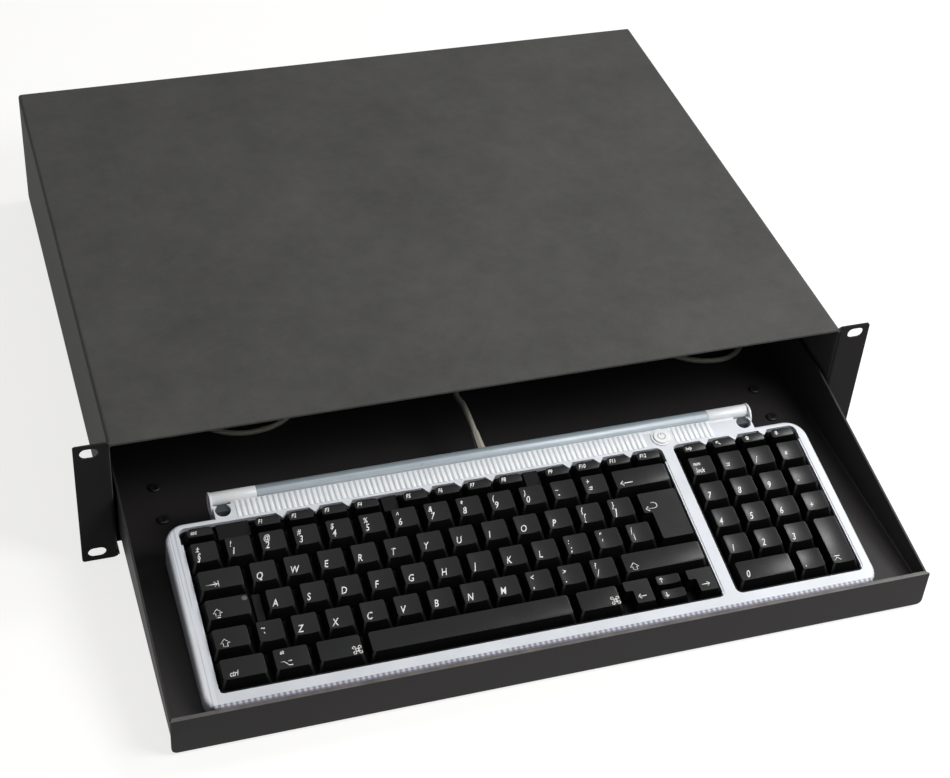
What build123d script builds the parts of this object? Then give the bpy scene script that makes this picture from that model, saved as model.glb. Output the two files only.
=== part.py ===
from build123d import *
import os
from math import atan, cos, degrees, radians, sin, tan

# Rack keyboard drawer, two units high, with the drawer pulled out and a keyboard lying in it.
# Millimetres. +X right, +Y into the rack, +Z up. The origin is the centre of the four rack slots,
# on the back face of the ears, where they meet the rack rails.

# Folded sheet
SHEET = 1.2
BEND = 1.0
SPOT_GAP = 0.1

# Rack ears and chassis
RACK_W = 482.6
EAR_H = 88.1
SLOT_SPAN_X = 465.1
SLOT_SPAN_Z = 76.2
SLOT_L = 10.5
SLOT_W = 7.0
EAR_CORNER = 1.5
EAR_W = 19.2
BODY_W = RACK_W - 2 * EAR_W
BODY_H = 85.0
BODY_D = 361.0
BODY_FLANGE = 50.0
FLANGE_SETBACK = 10.5
EAR_RELIEF = 1.0
EAR_LAP = 2.6
REAR_FOLD = 12.0
CABLE_GAP_W = 150.0
CABLE_GAP_H = 42.0

# Drawer
DRAWER_OUT = 150.0
DRAWER_GAP = 3.4
DRAWER_W = BODY_W - 2 * DRAWER_GAP
DRAWER_L = 345.0
FASCIA_H = 25.0
FASCIA_LIP = 6.0
FASCIA_FOOT = 8.0
FASCIA_CORNER = 3.5
WALL_FRONT = 10.4
WALL_LEVEL = 35.5
WALL_SLOPE = 0.16
REAR_LIP = 14.0
REAR_LIP_GAP = 60.0
FRONT_TAB = 8.0
TAB_INSET = 4.0

# Slides, mounted flat under the floor
SLIDE_INSET = 29.5
SLIDE_X = BODY_W / 2 - SLIDE_INSET
SLIDE_W = 35.0
SLIDE_H = 10.0
SLIDE_L = 300.0
SLIDE_START = 20.0
SLIDE_T = 1.2
BALL_D = 3.5
BALL_FIT = 0.05
BALLS_PITCH = 25.0
CAGE_T = 0.5
CAGE_L = 70.0
CAGE_MID = 95.0
CAGE_HOLE_FIT = 0.1
RUNNING_GAP = 0.3
LIP_T = 0.8
LIP_REACH = 1.2
OUTER_LIP_REACH = 1.4
BUMPER_L = 6.0
BUMPER_W = 16.0
TRAY_SCREW_Y = (45.0, 158.6, 186.0)
RIVET_Y = (60.0, 300.0)
SCREW_R = 1.9
SCREW_HEAD_R = 3.6
SCREW_HEAD_H = 1.6
SCREW_L = 4.0
HOLE_FIT = 0.2
RIVET_HEAD_H = 0.9
FASTENER_SIDES = 8
BALL_SIDES = 8

# Keyboard as a whole: keys lie on a sloping plane, and (u, v, w) is measured along that plane.
# u runs right from the left edge of the key block, v runs back from the middle of the number row,
# and w stands up from the plane of the key tops.
KEY_SLOPE = 9.67
KB_U0_X = -189.2
KB_BACK = 99.65
KB_UP = 28.7
WEDGE = 6.0

# Keys
PITCH = 19.05
KEY_GAP = 0.85
CAP_H = 6.5
CAP_WALL = 1.2
CAP_TOP_T = 1.3
TAPER_SIDE = 1.5
TAPER_FRONT = 3.0
TAPER_REAR = 1.5
TAPER_LOW = 1.2
FUNCTION_CORNER = 3.6
ARROW_NOTCH = 4.4
KEY_TRAVEL = 3.0
TRAVEL_GAP = 0.2
STEM = 5.2
STEM_LOW = 3.0
STEM_FIT = 0.15
STEM_DIP = 0.65
COLLAR_WALL = 1.0
COLLAR_WALL_LOW = 0.8
COLLAR_H = 2.7
PAD_U = 296.1

# Keyboard plates and case
PLATE_T = 1.0
MAT_T = 0.4
MEMBRANE_T = 0.2
WELL_GAP = 0.6
WELL_WALL = 1.0
WELL_CORNER = 3.0
WELL_TOP = -3.8
WELL_REAR_TOP = -6.7
FILLER_TOP = -5.0
FIT = 0.1
RIM_TOP = -3.5
RIM_LEFT = 9.7
RIM_RIGHT = 7.6
RIM_FRONT = 12.3
RIM_REAR = 5.45
RIM_CORNER = 12.0
RIM_ROUND = 2.4
TOOTH_L = 3.6
TOOTH_HALF = 3.2
TOOTH_TIP = 0.4
TOOTH_DEPTH = 2.7
CASE_FRONT_UP = 0.6

# Rear strip, tube, ports and power button
STRIP_U = (20.4, 349.4)
STRIP_V = 32.2
TUBE_R = 5.0
TUBE_V = 37.2
TUBE_RISE = 4.0
TUBE_FIT = 0.1
TUBE_CAP_L = 26.0
PORT_INSET = 1.2
CASE_REAR_V = 42.3
CASE_REAR_W = -19.0
CASE_TAPER_V = 24.0
FINGER_NOTCH_R = 4.5
FINGER_NOTCH_U = 5.2
FINGER_NOTCH_V = 28.6
PORT_W = 13.4
PORT_H = 6.1
PORT_DROP = 0.6
PORT_L = 16.0
PORT_WALL = 0.6
PORT_TONGUE = 1.8
BUTTON_U = 290.2
BUTTON_V = 27.6
BUTTON_R = 5.0
BUTTON_TOP = -2.0
BUTTON_H = 6.5
BUTTON_TRAVEL = 0.8
BUTTON_FIT = 0.08
RING_R = 6.2
RING_TOP = -2.9

# Fold-out foot and pads
FOOT_V = 12.0
FOOT_HALF = 100.0
FOOT_T = 3.2
FOOT_PIVOT_UP = 2.6
FOOT_PIN_R = 1.2
FOOT_PIN_L = 3.0
FOOT_PIN_FIT = 0.06
FOOT_PAD_T = 1.2
FOOT_PAD_L = 20.0
FOOT_SIDE_GAP = 0.4
FOOT_FLOOR_GAP = 0.25
FRONT_PAD_R = 4.0
FRONT_PAD_INSET = 30.0

# Board and case screws
BOARD_L = 90.0
BOARD_D = 14.0
BOARD_T = 1.6
BOARD_POCKET = 5.0
CASE_SCREW_R = 1.1
CASE_SCREW_HEAD_R = 2.2
CASE_SCREW_HEAD_H = 1.2
CASE_SCREW_SPAN = 147.6
CASE_SCREW_V = 24.3
CASE_SCREW_SINK = 1.5
CASE_SCREW_SHORT = 0.4

# Cord
CORD_D = 3.5
CORD_SIDES = 6
CORD_LIFT = 0.2
RELIEF_L = 20.0
RELIEF_R = 3.2
RELIEF_TIP_R = 2.3
RELIEF_W = -14.3
PLUG_L = 20.0
PLUG_W = 15.6
PLUG_H = 7.8
PLUG_SHELL_L = 11.8
PLUG_SHELL_W = 12.0
PLUG_SHELL_H = 4.5
PLUG_SHELL_T = 0.4
PLUG_SEAT = 2.0
PLUG_ROUND = 1.2
TONGUE_BACK = 0.6

# Places that follow from the sizes above
EAR_FRONT = -SHEET
BODY_END = EAR_FRONT + BODY_D
BODY_BOTTOM = -BODY_H / 2
FLANGE_TOP = BODY_BOTTOM + SHEET
FLOOR_UNDER = FLANGE_TOP + SLIDE_H
FLOOR_TOP = FLOOR_UNDER + SHEET
FASCIA_FRONT = EAR_FRONT - DRAWER_OUT
FASCIA_BACK = FASCIA_FRONT + SHEET
TRAY_END = FASCIA_FRONT + DRAWER_L
SLOPE = radians(KEY_SLOPE)
KB_Y = FASCIA_FRONT + KB_BACK
KB_Z = FLOOR_TOP + KB_UP
KEYBOARD = Location((KB_U0_X, KB_Y, KB_Z), (KEY_SLOPE, 0, 0))
PLATE_TOP = -CAP_H - KEY_TRAVEL - TRAVEL_GAP
PLATE_UNDER = PLATE_TOP - PLATE_T
MAT_UNDER = PLATE_UNDER - MAT_T
POCKET_FLOOR = MAT_UNDER - MEMBRANE_T
COLLAR_TOP = PLATE_TOP + COLLAR_H
STEM_END = COLLAR_TOP - STEM_DIP
MAIN_U = (0.0, 15 * PITCH)
PAD_SPAN = (PAD_U, PAD_U + 4 * PITCH)
KEYS_FRONT = -4.5 * PITCH
KEYS_REAR = PITCH
FUNCTION_V = 0.75 * PITCH
OUTLINE_U = (-RIM_LEFT, PAD_SPAN[1] + RIM_RIGHT)
OUTLINE_V = (KEYS_FRONT - RIM_FRONT, KEYS_REAR + RIM_REAR)
CASE_MID = (OUTLINE_U[0] + OUTLINE_U[1]) / 2
TUBE_W = RIM_TOP + TUBE_RISE - TUBE_R


def block(low, high):
    """Solid box between two opposite corners."""
    size = [b - a for a, b in zip(low, high)]
    middle = [(a + b) / 2 for a, b in zip(low, high)]
    return Pos(*middle) * Box(*size)


def along_y(section, start, end):
    """Extrude an X-Z section from one Y to another."""
    return extrude(Plane.XZ.offset(-end) * section, amount=end - start)


def along_x(section, start, end):
    """Extrude a Y-Z section from one X to another."""
    return extrude(Plane.YZ.offset(start) * section, amount=end - start)


def upright(radius, x, y, low, high):
    """Vertical round bar between two heights."""
    return Pos(x, y, (low + high) / 2) * Cylinder(radius, high - low)


def stud(radius, x, y, low, high):
    """Vertical bar of a small screw, rivet or hole, with few sides because there are many of them."""
    return Pos(x, y, low) * extrude(RegularPolygon(radius, FASTENER_SIDES), amount=high - low)


def crosswise(radius, y, z, start, end):
    """Round bar along X between two places."""
    return Pos((start + end) / 2, y, z) * Rot(0, 90, 0) * Cylinder(radius, end - start)


def folded(points, radius=BEND + SHEET):
    """Section of a folded sheet whose outer skin follows the given points, turning clockwise."""
    skin = FilletPolyline(*points, radius=radius)
    return make_face(offset(skin, SHEET, side=Side.RIGHT).edges())


def keep(name, *shapes):
    """Write one sub-part to its own file, all its solids together."""
    solids = [solid for shape in shapes for solid in shape.solids()]
    export_step(Compound(solids), f"parts/{name}.step")


def on_keyboard(*shapes):
    """Lay shapes that are modelled in (u, v, w) on the sloping keyboard."""
    return [KEYBOARD * shape for shape in shapes]


def make_chassis():
    """Cover with its ears and bottom flanges, and the rear wall that closes it."""
    half_w = BODY_W / 2
    half_h = BODY_H / 2
    skin = ((-half_w + BODY_FLANGE, -half_h), (-half_w, -half_h), (-half_w, half_h),
            (half_w, half_h), (half_w, -half_h), (half_w - BODY_FLANGE, -half_h))
    shell = along_y(folded(skin), EAR_FRONT, BODY_END)
    for side in (-1, 1):
        inner = side * (half_w - EAR_LAP)
        relief = side * (half_w + EAR_RELIEF)
        tip = side * RACK_W / 2
        rim = EAR_H / 2
        outline = make_face(Polyline((inner, -half_h), (relief, -rim), (tip, -rim), (tip, rim),
                                     (relief, rim), (inner, half_h), close=True))
        corners = outline.vertices().filter_by(lambda v: abs(abs(v.X) - RACK_W / 2) < 0.01)
        outline = fillet(corners, EAR_CORNER)
        inside = Pos(side * (half_w - SHEET) / 2, 0) * Rectangle(half_w - SHEET, 2 * EAR_H)
        slots = [Pos(side * SLOT_SPAN_X / 2, z) * SlotOverall(SLOT_L, SLOT_W)
                 for z in (-SLOT_SPAN_Z / 2, SLOT_SPAN_Z / 2)]
        shell += along_y(outline - inside - slots, EAR_FRONT, 0)
        front_cut, rear_fill = ear_bend(side)
        shell = shell - front_cut + rear_fill
    flat = half_w - SHEET - BEND
    shell -= block((-flat, EAR_FRONT - 1, BODY_BOTTOM - 1),
                   (flat, EAR_FRONT + FLANGE_SETBACK, FLANGE_TOP + BEND))
    for x, y in rear_rivet_places():
        shell -= stud(SCREW_R + HOLE_FIT, x, y, BODY_BOTTOM - 1, FLANGE_TOP + 1)
    for side in (-1, 1):
        for y in RIVET_Y:
            x = side * SLIDE_X
            shell -= stud(SCREW_R + HOLE_FIT, x, EAR_FRONT + y, BODY_BOTTOM - 1, FLANGE_TOP + 1)
    keep("chassis_shell", shell)
    make_rear_panel()


def ear_bend(side):
    """Rounding of the fold between a side wall and its ear: what to cut in front, to add behind."""
    x = side * (BODY_W / 2 + BEND)
    skin = BEND + SHEET
    reach = BODY_H / 2 - skin
    cut = block((min(x, x - side * skin), EAR_FRONT - 1, -reach), (max(x, x - side * skin), BEND, reach))
    cut -= upright(skin, x, BEND, -reach - 1, reach + 1)
    fill = block((min(x, x - side * BEND), 0, -reach), (max(x, x - side * BEND), BEND, reach))
    fill -= upright(BEND, x, BEND, -reach - 1, reach + 1)
    return cut, fill


def rear_rivet_places():
    """Places of the rivets that join the rear wall's foot to the bottom flanges."""
    half = BODY_W / 2 - SHEET - SPOT_GAP
    y = BODY_END - SHEET - REAR_FOLD / 2
    inset = BODY_FLANGE / 3
    return [(side * (half - shift), y) for side in (-1, 1) for shift in (inset / 2, 2 * inset)]


def make_rear_panel():
    """Rear wall folded forward on all sides, with a cable cut-out in its lower edge."""
    half_w = BODY_W / 2 - SHEET - SPOT_GAP
    top = BODY_H / 2 - SHEET - SPOT_GAP
    front = BODY_END - SHEET - REAR_FOLD
    back = BODY_END - SHEET
    wall = ((front, FLANGE_TOP), (back, FLANGE_TOP), (back, top), (front, top))
    panel = along_x(folded(wall[::-1]), -half_w, half_w)
    for side in (-1, 1):
        flange = block((-SHEET / 2, front, FLANGE_TOP + 2 * SHEET),
                       (SHEET / 2, back, top - 2 * SHEET))
        panel += Pos(side * (half_w - SHEET / 2), 0, 0) * flange
    middle = (FLANGE_TOP + top) / 2
    corners = RectangleRounded(2 * half_w, top - FLANGE_TOP, SHEET)
    panel &= along_y(Pos(0, middle) * corners, front - 1, back + 1)
    gap = CABLE_GAP_W / 2
    lifted = FLANGE_TOP + CABLE_GAP_H
    notch = block((-gap, front - 1, FLANGE_TOP - 1), (gap, back + 1, lifted))
    sides = notch.edges().filter_by(Axis.Y).filter_by(lambda e: e.center().Z > lifted - 1)
    panel -= fillet(sides, 6)
    panel -= block((-half_w + BODY_FLANGE, front - 1, FLANGE_TOP - 1),
                   (half_w - BODY_FLANGE, back - SHEET - BEND, FLANGE_TOP + SHEET + 0.01))
    rivets = []
    for x, y in rear_rivet_places():
        panel -= stud(SCREW_R + HOLE_FIT, x, y, FLANGE_TOP - 1, FLANGE_TOP + 2 * SHEET)
        shank = stud(SCREW_R, x, y, BODY_BOTTOM, FLANGE_TOP + SHEET)
        head = stud(SCREW_HEAD_R, x, y, FLANGE_TOP + SHEET, FLANGE_TOP + SHEET + RIVET_HEAD_H)
        foot = stud(SCREW_HEAD_R, x, y, BODY_BOTTOM - RIVET_HEAD_H, BODY_BOTTOM)
        rivets.append(shank + head + foot)
    keep("rear_panel", panel)
    keep("rear_panel_rivets", *rivets)


def slide_levels():
    """Heights and half-widths of one slide's section, measured from its base and middle."""
    cage = SLIDE_T + RUNNING_GAP
    lip = cage + CAGE_T + RUNNING_GAP
    ball = lip + LIP_T + BALL_FIT + BALL_D / 2
    ball_x = SLIDE_W / 2 - SLIDE_T - BALL_FIT - BALL_D / 2
    inner_x = ball_x - BALL_D / 2 - BALL_FIT
    return cage, lip, ball, ball_x, inner_x


def outer_section():
    """Fixed slide member: a shallow channel with lips turned in over the balls."""
    cage, lip, ball, ball_x, inner_x = slide_levels()
    half = SLIDE_W / 2
    top = ball + BALL_D / 2 + BALL_FIT + SLIDE_T
    shape = Pos(0, top / 2) * Rectangle(SLIDE_W, top)
    shape -= Pos(0, (top + SLIDE_T) / 2) * Rectangle(SLIDE_W - 2 * SLIDE_T, top - SLIDE_T)
    for side in (-1, 1):
        x = side * (half - SLIDE_T - OUTER_LIP_REACH / 2)
        shape += Pos(x, top - SLIDE_T / 2) * Rectangle(OUTER_LIP_REACH, SLIDE_T)
    ridge = shape.vertices().filter_by(lambda v: abs(abs(v.X) - half) < 0.01)
    return fillet(ridge, BEND)


def inner_section():
    """Moving slide member: an inverted channel whose feet turn out under the balls."""
    cage, lip, ball, ball_x, inner_x = slide_levels()
    wall = SLIDE_H - lip
    shape = Pos(0, lip + wall / 2) * Rectangle(2 * inner_x, wall)
    shape -= Pos(0, lip + (wall - SLIDE_T) / 2) * Rectangle(2 * (inner_x - SLIDE_T), wall - SLIDE_T)
    for side in (-1, 1):
        foot = Pos(side * (inner_x + LIP_REACH / 2), lip + LIP_T / 2)
        shape += foot * Rectangle(LIP_REACH, LIP_T)
    ridge = shape.vertices().filter_by(lambda v: v.Y > SLIDE_H - 0.01)
    return fillet(ridge, BEND)


def cage_section():
    """Ball cage: a thin web with a strip standing up at each side."""
    cage, lip, ball, ball_x, inner_x = slide_levels()
    half = ball_x + CAGE_T / 2
    top = ball + BALL_D / 2 - 2 * BALL_FIT
    shape = Pos(0, cage + CAGE_T / 2) * Rectangle(2 * half, CAGE_T)
    for side in (-1, 1):
        strip = Pos(side * ball_x, (cage + top) / 2)
        shape += strip * Rectangle(CAGE_T, top - cage)
    return shape


def ball_bar(grow=0.0):
    """Eight-sided bar as wide as a slide ball."""
    section = RegularPolygon(BALL_D / 2 + grow, BALL_SIDES, major_radius=False,
                             rotation=180 / BALL_SIDES)
    return extrude(section, amount=BALL_D / 2, both=True)


def ball_form():
    """Slide ball with few facets: what three crossed bars have in common."""
    return ball_bar() & Rot(90, 0, 0) * ball_bar() & Rot(0, 90, 0) * ball_bar()


def make_slides():
    """Two flat ball-bearing slides, each with a fixed channel, a ball cage and a moving channel."""
    cage, lip, ball, ball_x, inner_x = slide_levels()
    closed_start = EAR_FRONT + SLIDE_START
    open_start = FASCIA_FRONT + SLIDE_START
    cage_y = EAR_FRONT + CAGE_MID
    rivets = []
    bumpers = []
    for side, name in ((-1, "left"), (1, "right")):
        place = Pos(side * SLIDE_X, 0, FLANGE_TOP)
        outer = place * along_y(outer_section(), closed_start, closed_start + SLIDE_L + BUMPER_L)
        inner = place * along_y(inner_section(), open_start, open_start + SLIDE_L)
        strip = place * along_y(cage_section(), cage_y - CAGE_L / 2, cage_y + CAGE_L / 2)
        balls = []
        for row in (-1, 1):
            for step in (-1, 0, 1):
                spot = Pos(row * ball_x, cage_y + step * BALLS_PITCH, ball)
                balls.append(place * spot * ball_form())
                strip -= place * spot * Rot(0, 90, 0) * ball_bar(CAGE_HOLE_FIT)
        for y in RIVET_Y:
            x = side * SLIDE_X
            here = EAR_FRONT + y
            low = BODY_BOTTOM
            high = FLANGE_TOP + SLIDE_T
            outer -= stud(SCREW_R + HOLE_FIT, x, here, FLANGE_TOP - 1, high + 0.1)
            head = stud(SCREW_HEAD_R, x, here, low - RIVET_HEAD_H, low)
            rivets.append(head + stud(SCREW_R, x, here, low, high - HOLE_FIT))
        for y in TRAY_SCREW_Y:
            inner -= stud(SCREW_R + HOLE_FIT, side * SLIDE_X, FASCIA_FRONT + y,
                          FLOOR_UNDER - 2 * SLIDE_T, FLOOR_TOP)
        back = closed_start + SLIDE_L
        bumper = block((-BUMPER_W / 2, back + RUNNING_GAP, SLIDE_T),
                       (BUMPER_W / 2, back + BUMPER_L, ball + BALL_D / 2))
        bumpers.append(place * bumper)
        keep(f"slide_outer_{name}", outer)
        keep(f"slide_inner_{name}", inner)
        keep(f"ball_cage_{name}", strip)
        keep(f"slide_balls_{name}", *balls)
    keep("slide_outer_rivets", *rivets)
    keep("slide_bumpers", *bumpers)


def make_drawer():
    """Tray with rising side walls, its folded front and the screws that hold it to the slides."""
    half = DRAWER_W / 2
    level = FLOOR_TOP + WALL_LEVEL
    skin = ((-half, level), (-half, FLOOR_UNDER), (half, FLOOR_UNDER), (half, level))
    tray = along_y(folded(skin[::-1]), FASCIA_BACK, TRAY_END)
    low = FLOOR_TOP + WALL_FRONT
    knee = FASCIA_BACK + (level - low) / WALL_SLOPE
    beyond = TRAY_END + 1
    below = FLOOR_UNDER - 1
    side_view = Polyline((FASCIA_BACK, below), (FASCIA_BACK, low), (knee, level),
                         (beyond, level), (beyond, below), close=True)
    tray &= along_x(make_face(side_view), -half, half)
    lip_half = half - SHEET - BEND
    rear = block((-lip_half, TRAY_END - SHEET, FLOOR_TOP - SHEET / 2),
                 (lip_half, TRAY_END, FLOOR_TOP + REAR_LIP))
    rear -= block((-REAR_LIP_GAP / 2, TRAY_END - 2 * SHEET, FLOOR_TOP + REAR_LIP / 4),
                  (REAR_LIP_GAP / 2, TRAY_END + SHEET, FLOOR_TOP + 2 * REAR_LIP))
    tray += rear
    tray += block((-half + TAB_INSET, FASCIA_BACK, FLOOR_UNDER - FRONT_TAB),
                  (half - TAB_INSET, FASCIA_BACK + SHEET, FLOOR_TOP - SHEET / 2))
    screws = []
    for side in (-1, 1):
        for y in TRAY_SCREW_Y:
            x = side * SLIDE_X
            here = FASCIA_FRONT + y
            tray -= stud(SCREW_R + HOLE_FIT, x, here, FLOOR_UNDER - 1, FLOOR_TOP + 1)
            head = stud(SCREW_HEAD_R, x, here, FLOOR_TOP, FLOOR_TOP + SCREW_HEAD_H)
            head = chamfer(head.edges().group_by(Axis.Z)[-1], SCREW_HEAD_H / 2)
            screws.append(head + stud(SCREW_R, x, here, FLOOR_TOP - SCREW_L, FLOOR_TOP))
    keep("drawer_tray", tray)
    keep("tray_screws", *screws)

    bottom = BODY_BOTTOM
    top = bottom + FASCIA_H
    skin = ((FASCIA_FRONT + FASCIA_FOOT, bottom), (FASCIA_FRONT, bottom),
            (FASCIA_FRONT, top), (FASCIA_FRONT + FASCIA_LIP, top))
    front = along_x(folded(skin), -half, half)
    face = Rectangle(DRAWER_W, FASCIA_H)
    face = fillet(face.vertices().filter_by(lambda v: v.Y < 0), FASCIA_CORNER)
    front &= along_y(Pos(0, bottom + FASCIA_H / 2) * face, FASCIA_FRONT - 1,
                     FASCIA_FRONT + FASCIA_FOOT + FASCIA_LIP)
    keep("drawer_front", front)


def tapered(area, low, high, lean_front, lean_rear):
    """Block over a rectangle (left, right, front, rear) whose walls lean in as they rise."""
    left, right, front, rear = area
    width = right - left
    depth = rear - front
    wedge = Wedge(width, high - low, depth, TAPER_SIDE, lean_rear, width - TAPER_SIDE,
                  depth - lean_front, align=(Align.MIN, Align.MIN, Align.MIN))
    return Pos(left, rear, low) * Rot(90, 0, 0) * wedge


def inside_of(area):
    """Rectangle one cap wall smaller all round."""
    left, right, front, rear = area
    return (left + CAP_WALL, right - CAP_WALL, front + CAP_WALL, rear - CAP_WALL)


def rear_corners(cap):
    """The two leaning corner edges at a cap's rear."""
    return cap.edges().filter_by(lambda e: e.bounding_box().size.Z > 1 and e.center().Y > 0)


def key_stem(u, v, side):
    """Square stem under a cap."""
    return block((u - side / 2, v - side / 2, STEM_END), (u + side / 2, v + side / 2, -CAP_TOP_T + 0.1))


def stem_size(depth):
    """Side of the square stem: a slimmer one fits under a half-height key."""
    return STEM if depth > 0.75 * PITCH else STEM_LOW


def key(wide=1.0, deep=1.0, stems=(0.0,), rear_cut=0.0):
    """One hollow keycap with its stem or stems, wide and deep in key pitches."""
    half_w = (wide * PITCH - KEY_GAP) / 2
    half_d = (deep * PITCH - KEY_GAP) / 2
    low = deep < 0.75
    front = TAPER_LOW if low else TAPER_FRONT
    rear = TAPER_LOW if low else TAPER_REAR
    area = (-half_w, half_w, -half_d, half_d)
    cap = tapered(area, -CAP_H, 0, front, rear)
    hollow = tapered(inside_of(area), -CAP_H, -CAP_TOP_T, front, rear)
    if rear_cut:
        cap = chamfer(rear_corners(cap), rear_cut)
        hollow = chamfer(rear_corners(hollow), rear_cut - CAP_WALL / 2)
    cap -= hollow
    side = stem_size(deep * PITCH)
    for shift in stems:
        cap += key_stem(shift, 0, side)
    return cap


def stepped_key(areas, stem_u, stem_v, side):
    """Hollow cap over two overlapping rectangles, with one stem."""
    outside = [tapered(area, -CAP_H, 0, TAPER_FRONT, TAPER_REAR) for area in areas]
    inside = [tapered(inside_of(area), -CAP_H, -CAP_TOP_T, TAPER_FRONT, TAPER_REAR) for area in areas]
    return outside[0] + outside[1] - inside[0] - inside[1] + key_stem(stem_u, stem_v, side)


def return_key():
    """Two-row return key, wider in its upper row."""
    left_up = 13.5 * PITCH + KEY_GAP / 2
    left_low = 13.75 * PITCH + KEY_GAP / 2
    right = 15 * PITCH - KEY_GAP / 2
    top_v = -0.5 * PITCH - KEY_GAP / 2
    step_v = -1.5 * PITCH + KEY_GAP / 2
    low_v = -2.5 * PITCH + KEY_GAP / 2
    areas = ((left_up, right, step_v, top_v), (left_low, right, low_v, top_v))
    return stepped_key(areas, *return_stem(), STEM)


def return_stem():
    """Place of the return key's stem."""
    return (14.375 * PITCH, -1.5 * PITCH)


def arrow_key(u, v):
    """Left or right arrow: a full key whose front left corner is stepped back."""
    half = (PITCH - KEY_GAP) / 2
    areas = ((-half, half, -TAPER_FRONT / 2, half), (-half + ARROW_NOTCH, half, -half, half))
    return Pos(u, v, 0) * stepped_key(areas, ARROW_NOTCH / 2, 0, STEM_LOW)


def row_v(row):
    """Middle of a key row: row 0 is the number row."""
    return -row * PITCH


def run_of_keys(start, count, row):
    """Cells of equal keys beside each other: (u, v, wide, deep)."""
    return [((start + i + 0.5) * PITCH, row_v(row), 1.0, 1.0) for i in range(count)]


def key_cells():
    """Every key that is a plain rectangle, by the name of its sub-part."""
    functions = [0.5, 2.5, 3.5, 4.5, 5.5, 7.0, 8.0, 9.0, 10.0, 11.5, 12.5, 13.5, 14.5]
    pad = [PAD_U + (i + 0.5) * PITCH for i in range(4)]
    numbers = [(u, row_v(row), 1.0, 1.0) for row in (0, 1, 2) for u in pad]
    numbers += [(u, row_v(3), 1.0, 1.0) for u in pad[:3]]
    numbers += [(pad[2], row_v(4), 1.0, 1.0)]
    return {
        "keys_function_row": [(u * PITCH, FUNCTION_V, 1.0, 0.5) for u in functions],
        "keys_number_row": run_of_keys(0, 13, 0),
        "key_backspace": [(14 * PITCH, row_v(0), 2.0, 1.0)],
        "key_tab": [(0.75 * PITCH, row_v(1), 1.5, 1.0)],
        "keys_upper_letters": run_of_keys(1.5, 12, 1),
        "key_caps_lock": [(0.75 * PITCH, row_v(2), 1.5, 1.0)],
        "keys_home_letters": run_of_keys(1.75, 12, 2),
        "key_shift_left": [(0.625 * PITCH, row_v(3), 1.25, 1.0)],
        "keys_lower_letters": run_of_keys(1.25, 11, 3),
        "key_shift_right": [(13.625 * PITCH, row_v(3), 2.75, 1.0)],
        "keys_modifiers": [(0.75 * PITCH, row_v(4), 1.5, 1.0), (2.125 * PITCH, row_v(4), 1.25, 1.0),
                           (3.5 * PITCH, row_v(4), 1.5, 1.0), (11.25 * PITCH, row_v(4), 1.5, 1.0)],
        "key_space": [(7.375 * PITCH, row_v(4), 6.25, 1.0)],
        "keys_arrows": [(13.5 * PITCH, row_v(4) + PITCH / 4, 1.0, 0.5),
                        (13.5 * PITCH, row_v(4) - PITCH / 4, 1.0, 0.5)],
        "keys_pad_navigation": [(u, FUNCTION_V, 1.0, 0.5) for u in pad],
        "keys_pad_numbers": numbers,
        "key_pad_zero": [(PAD_U + PITCH, row_v(4), 2.0, 1.0)],
        "key_pad_enter": [(pad[3], row_v(3.5), 1.0, 2.0)],
    }


SPACE_STEMS = (-2.0 * PITCH, 0.0, 2.0 * PITCH)


def stems_under(name):
    """Offsets of a key's stems from its middle: only the space bar has more than one."""
    return SPACE_STEMS if name == "key_space" else (0.0,)


def make_keys():
    """All keycaps, each row or wide key in a sub-part of its own."""
    shapes = {}
    for name, cells in key_cells().items():
        caps = []
        for u, v, wide, deep in cells:
            cut = FUNCTION_CORNER if v > PITCH / 2 else 0.0
            form = (wide, deep, stems_under(name), cut)
            if form not in shapes:
                shapes[form] = key(*form)
            caps.append(Pos(u, v, 0) * shapes[form])
        if name == "keys_arrows":
            caps.append(arrow_key(12.5 * PITCH, row_v(4)))
            caps.append(arrow_key(14.5 * PITCH, row_v(4)))
        keep(name, *on_keyboard(*caps))
    keep("key_return", *on_keyboard(return_key()))


def stem_places():
    """Every stem: (u, v, side of its square)."""
    places = []
    for name, cells in key_cells().items():
        for u, v, wide, deep in cells:
            for shift in stems_under(name):
                places.append((u + shift, v, stem_size(deep * PITCH)))
    u, v = return_stem()
    places.append((u, v, STEM))
    for unit in (12.5, 14.5):
        places.append((unit * PITCH + ARROW_NOTCH / 2, row_v(4), STEM_LOW))
    return places


def wells():
    """The two key wells as (left, right, front, rear) inside their linings."""
    return [(span[0] - WELL_GAP, span[1] + WELL_GAP, KEYS_FRONT - WELL_GAP, KEYS_REAR + WELL_GAP)
            for span in (MAIN_U, PAD_SPAN)]


def well_plan(well, grow=0.0):
    """Plan of a well with its rounded corners, larger all round by the given amount."""
    left, right, front, rear = well
    return Pos((left + right) / 2, (front + rear) / 2) * RectangleRounded(
        right - left + 2 * grow, rear - front + 2 * grow, WELL_CORNER + grow)


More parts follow.
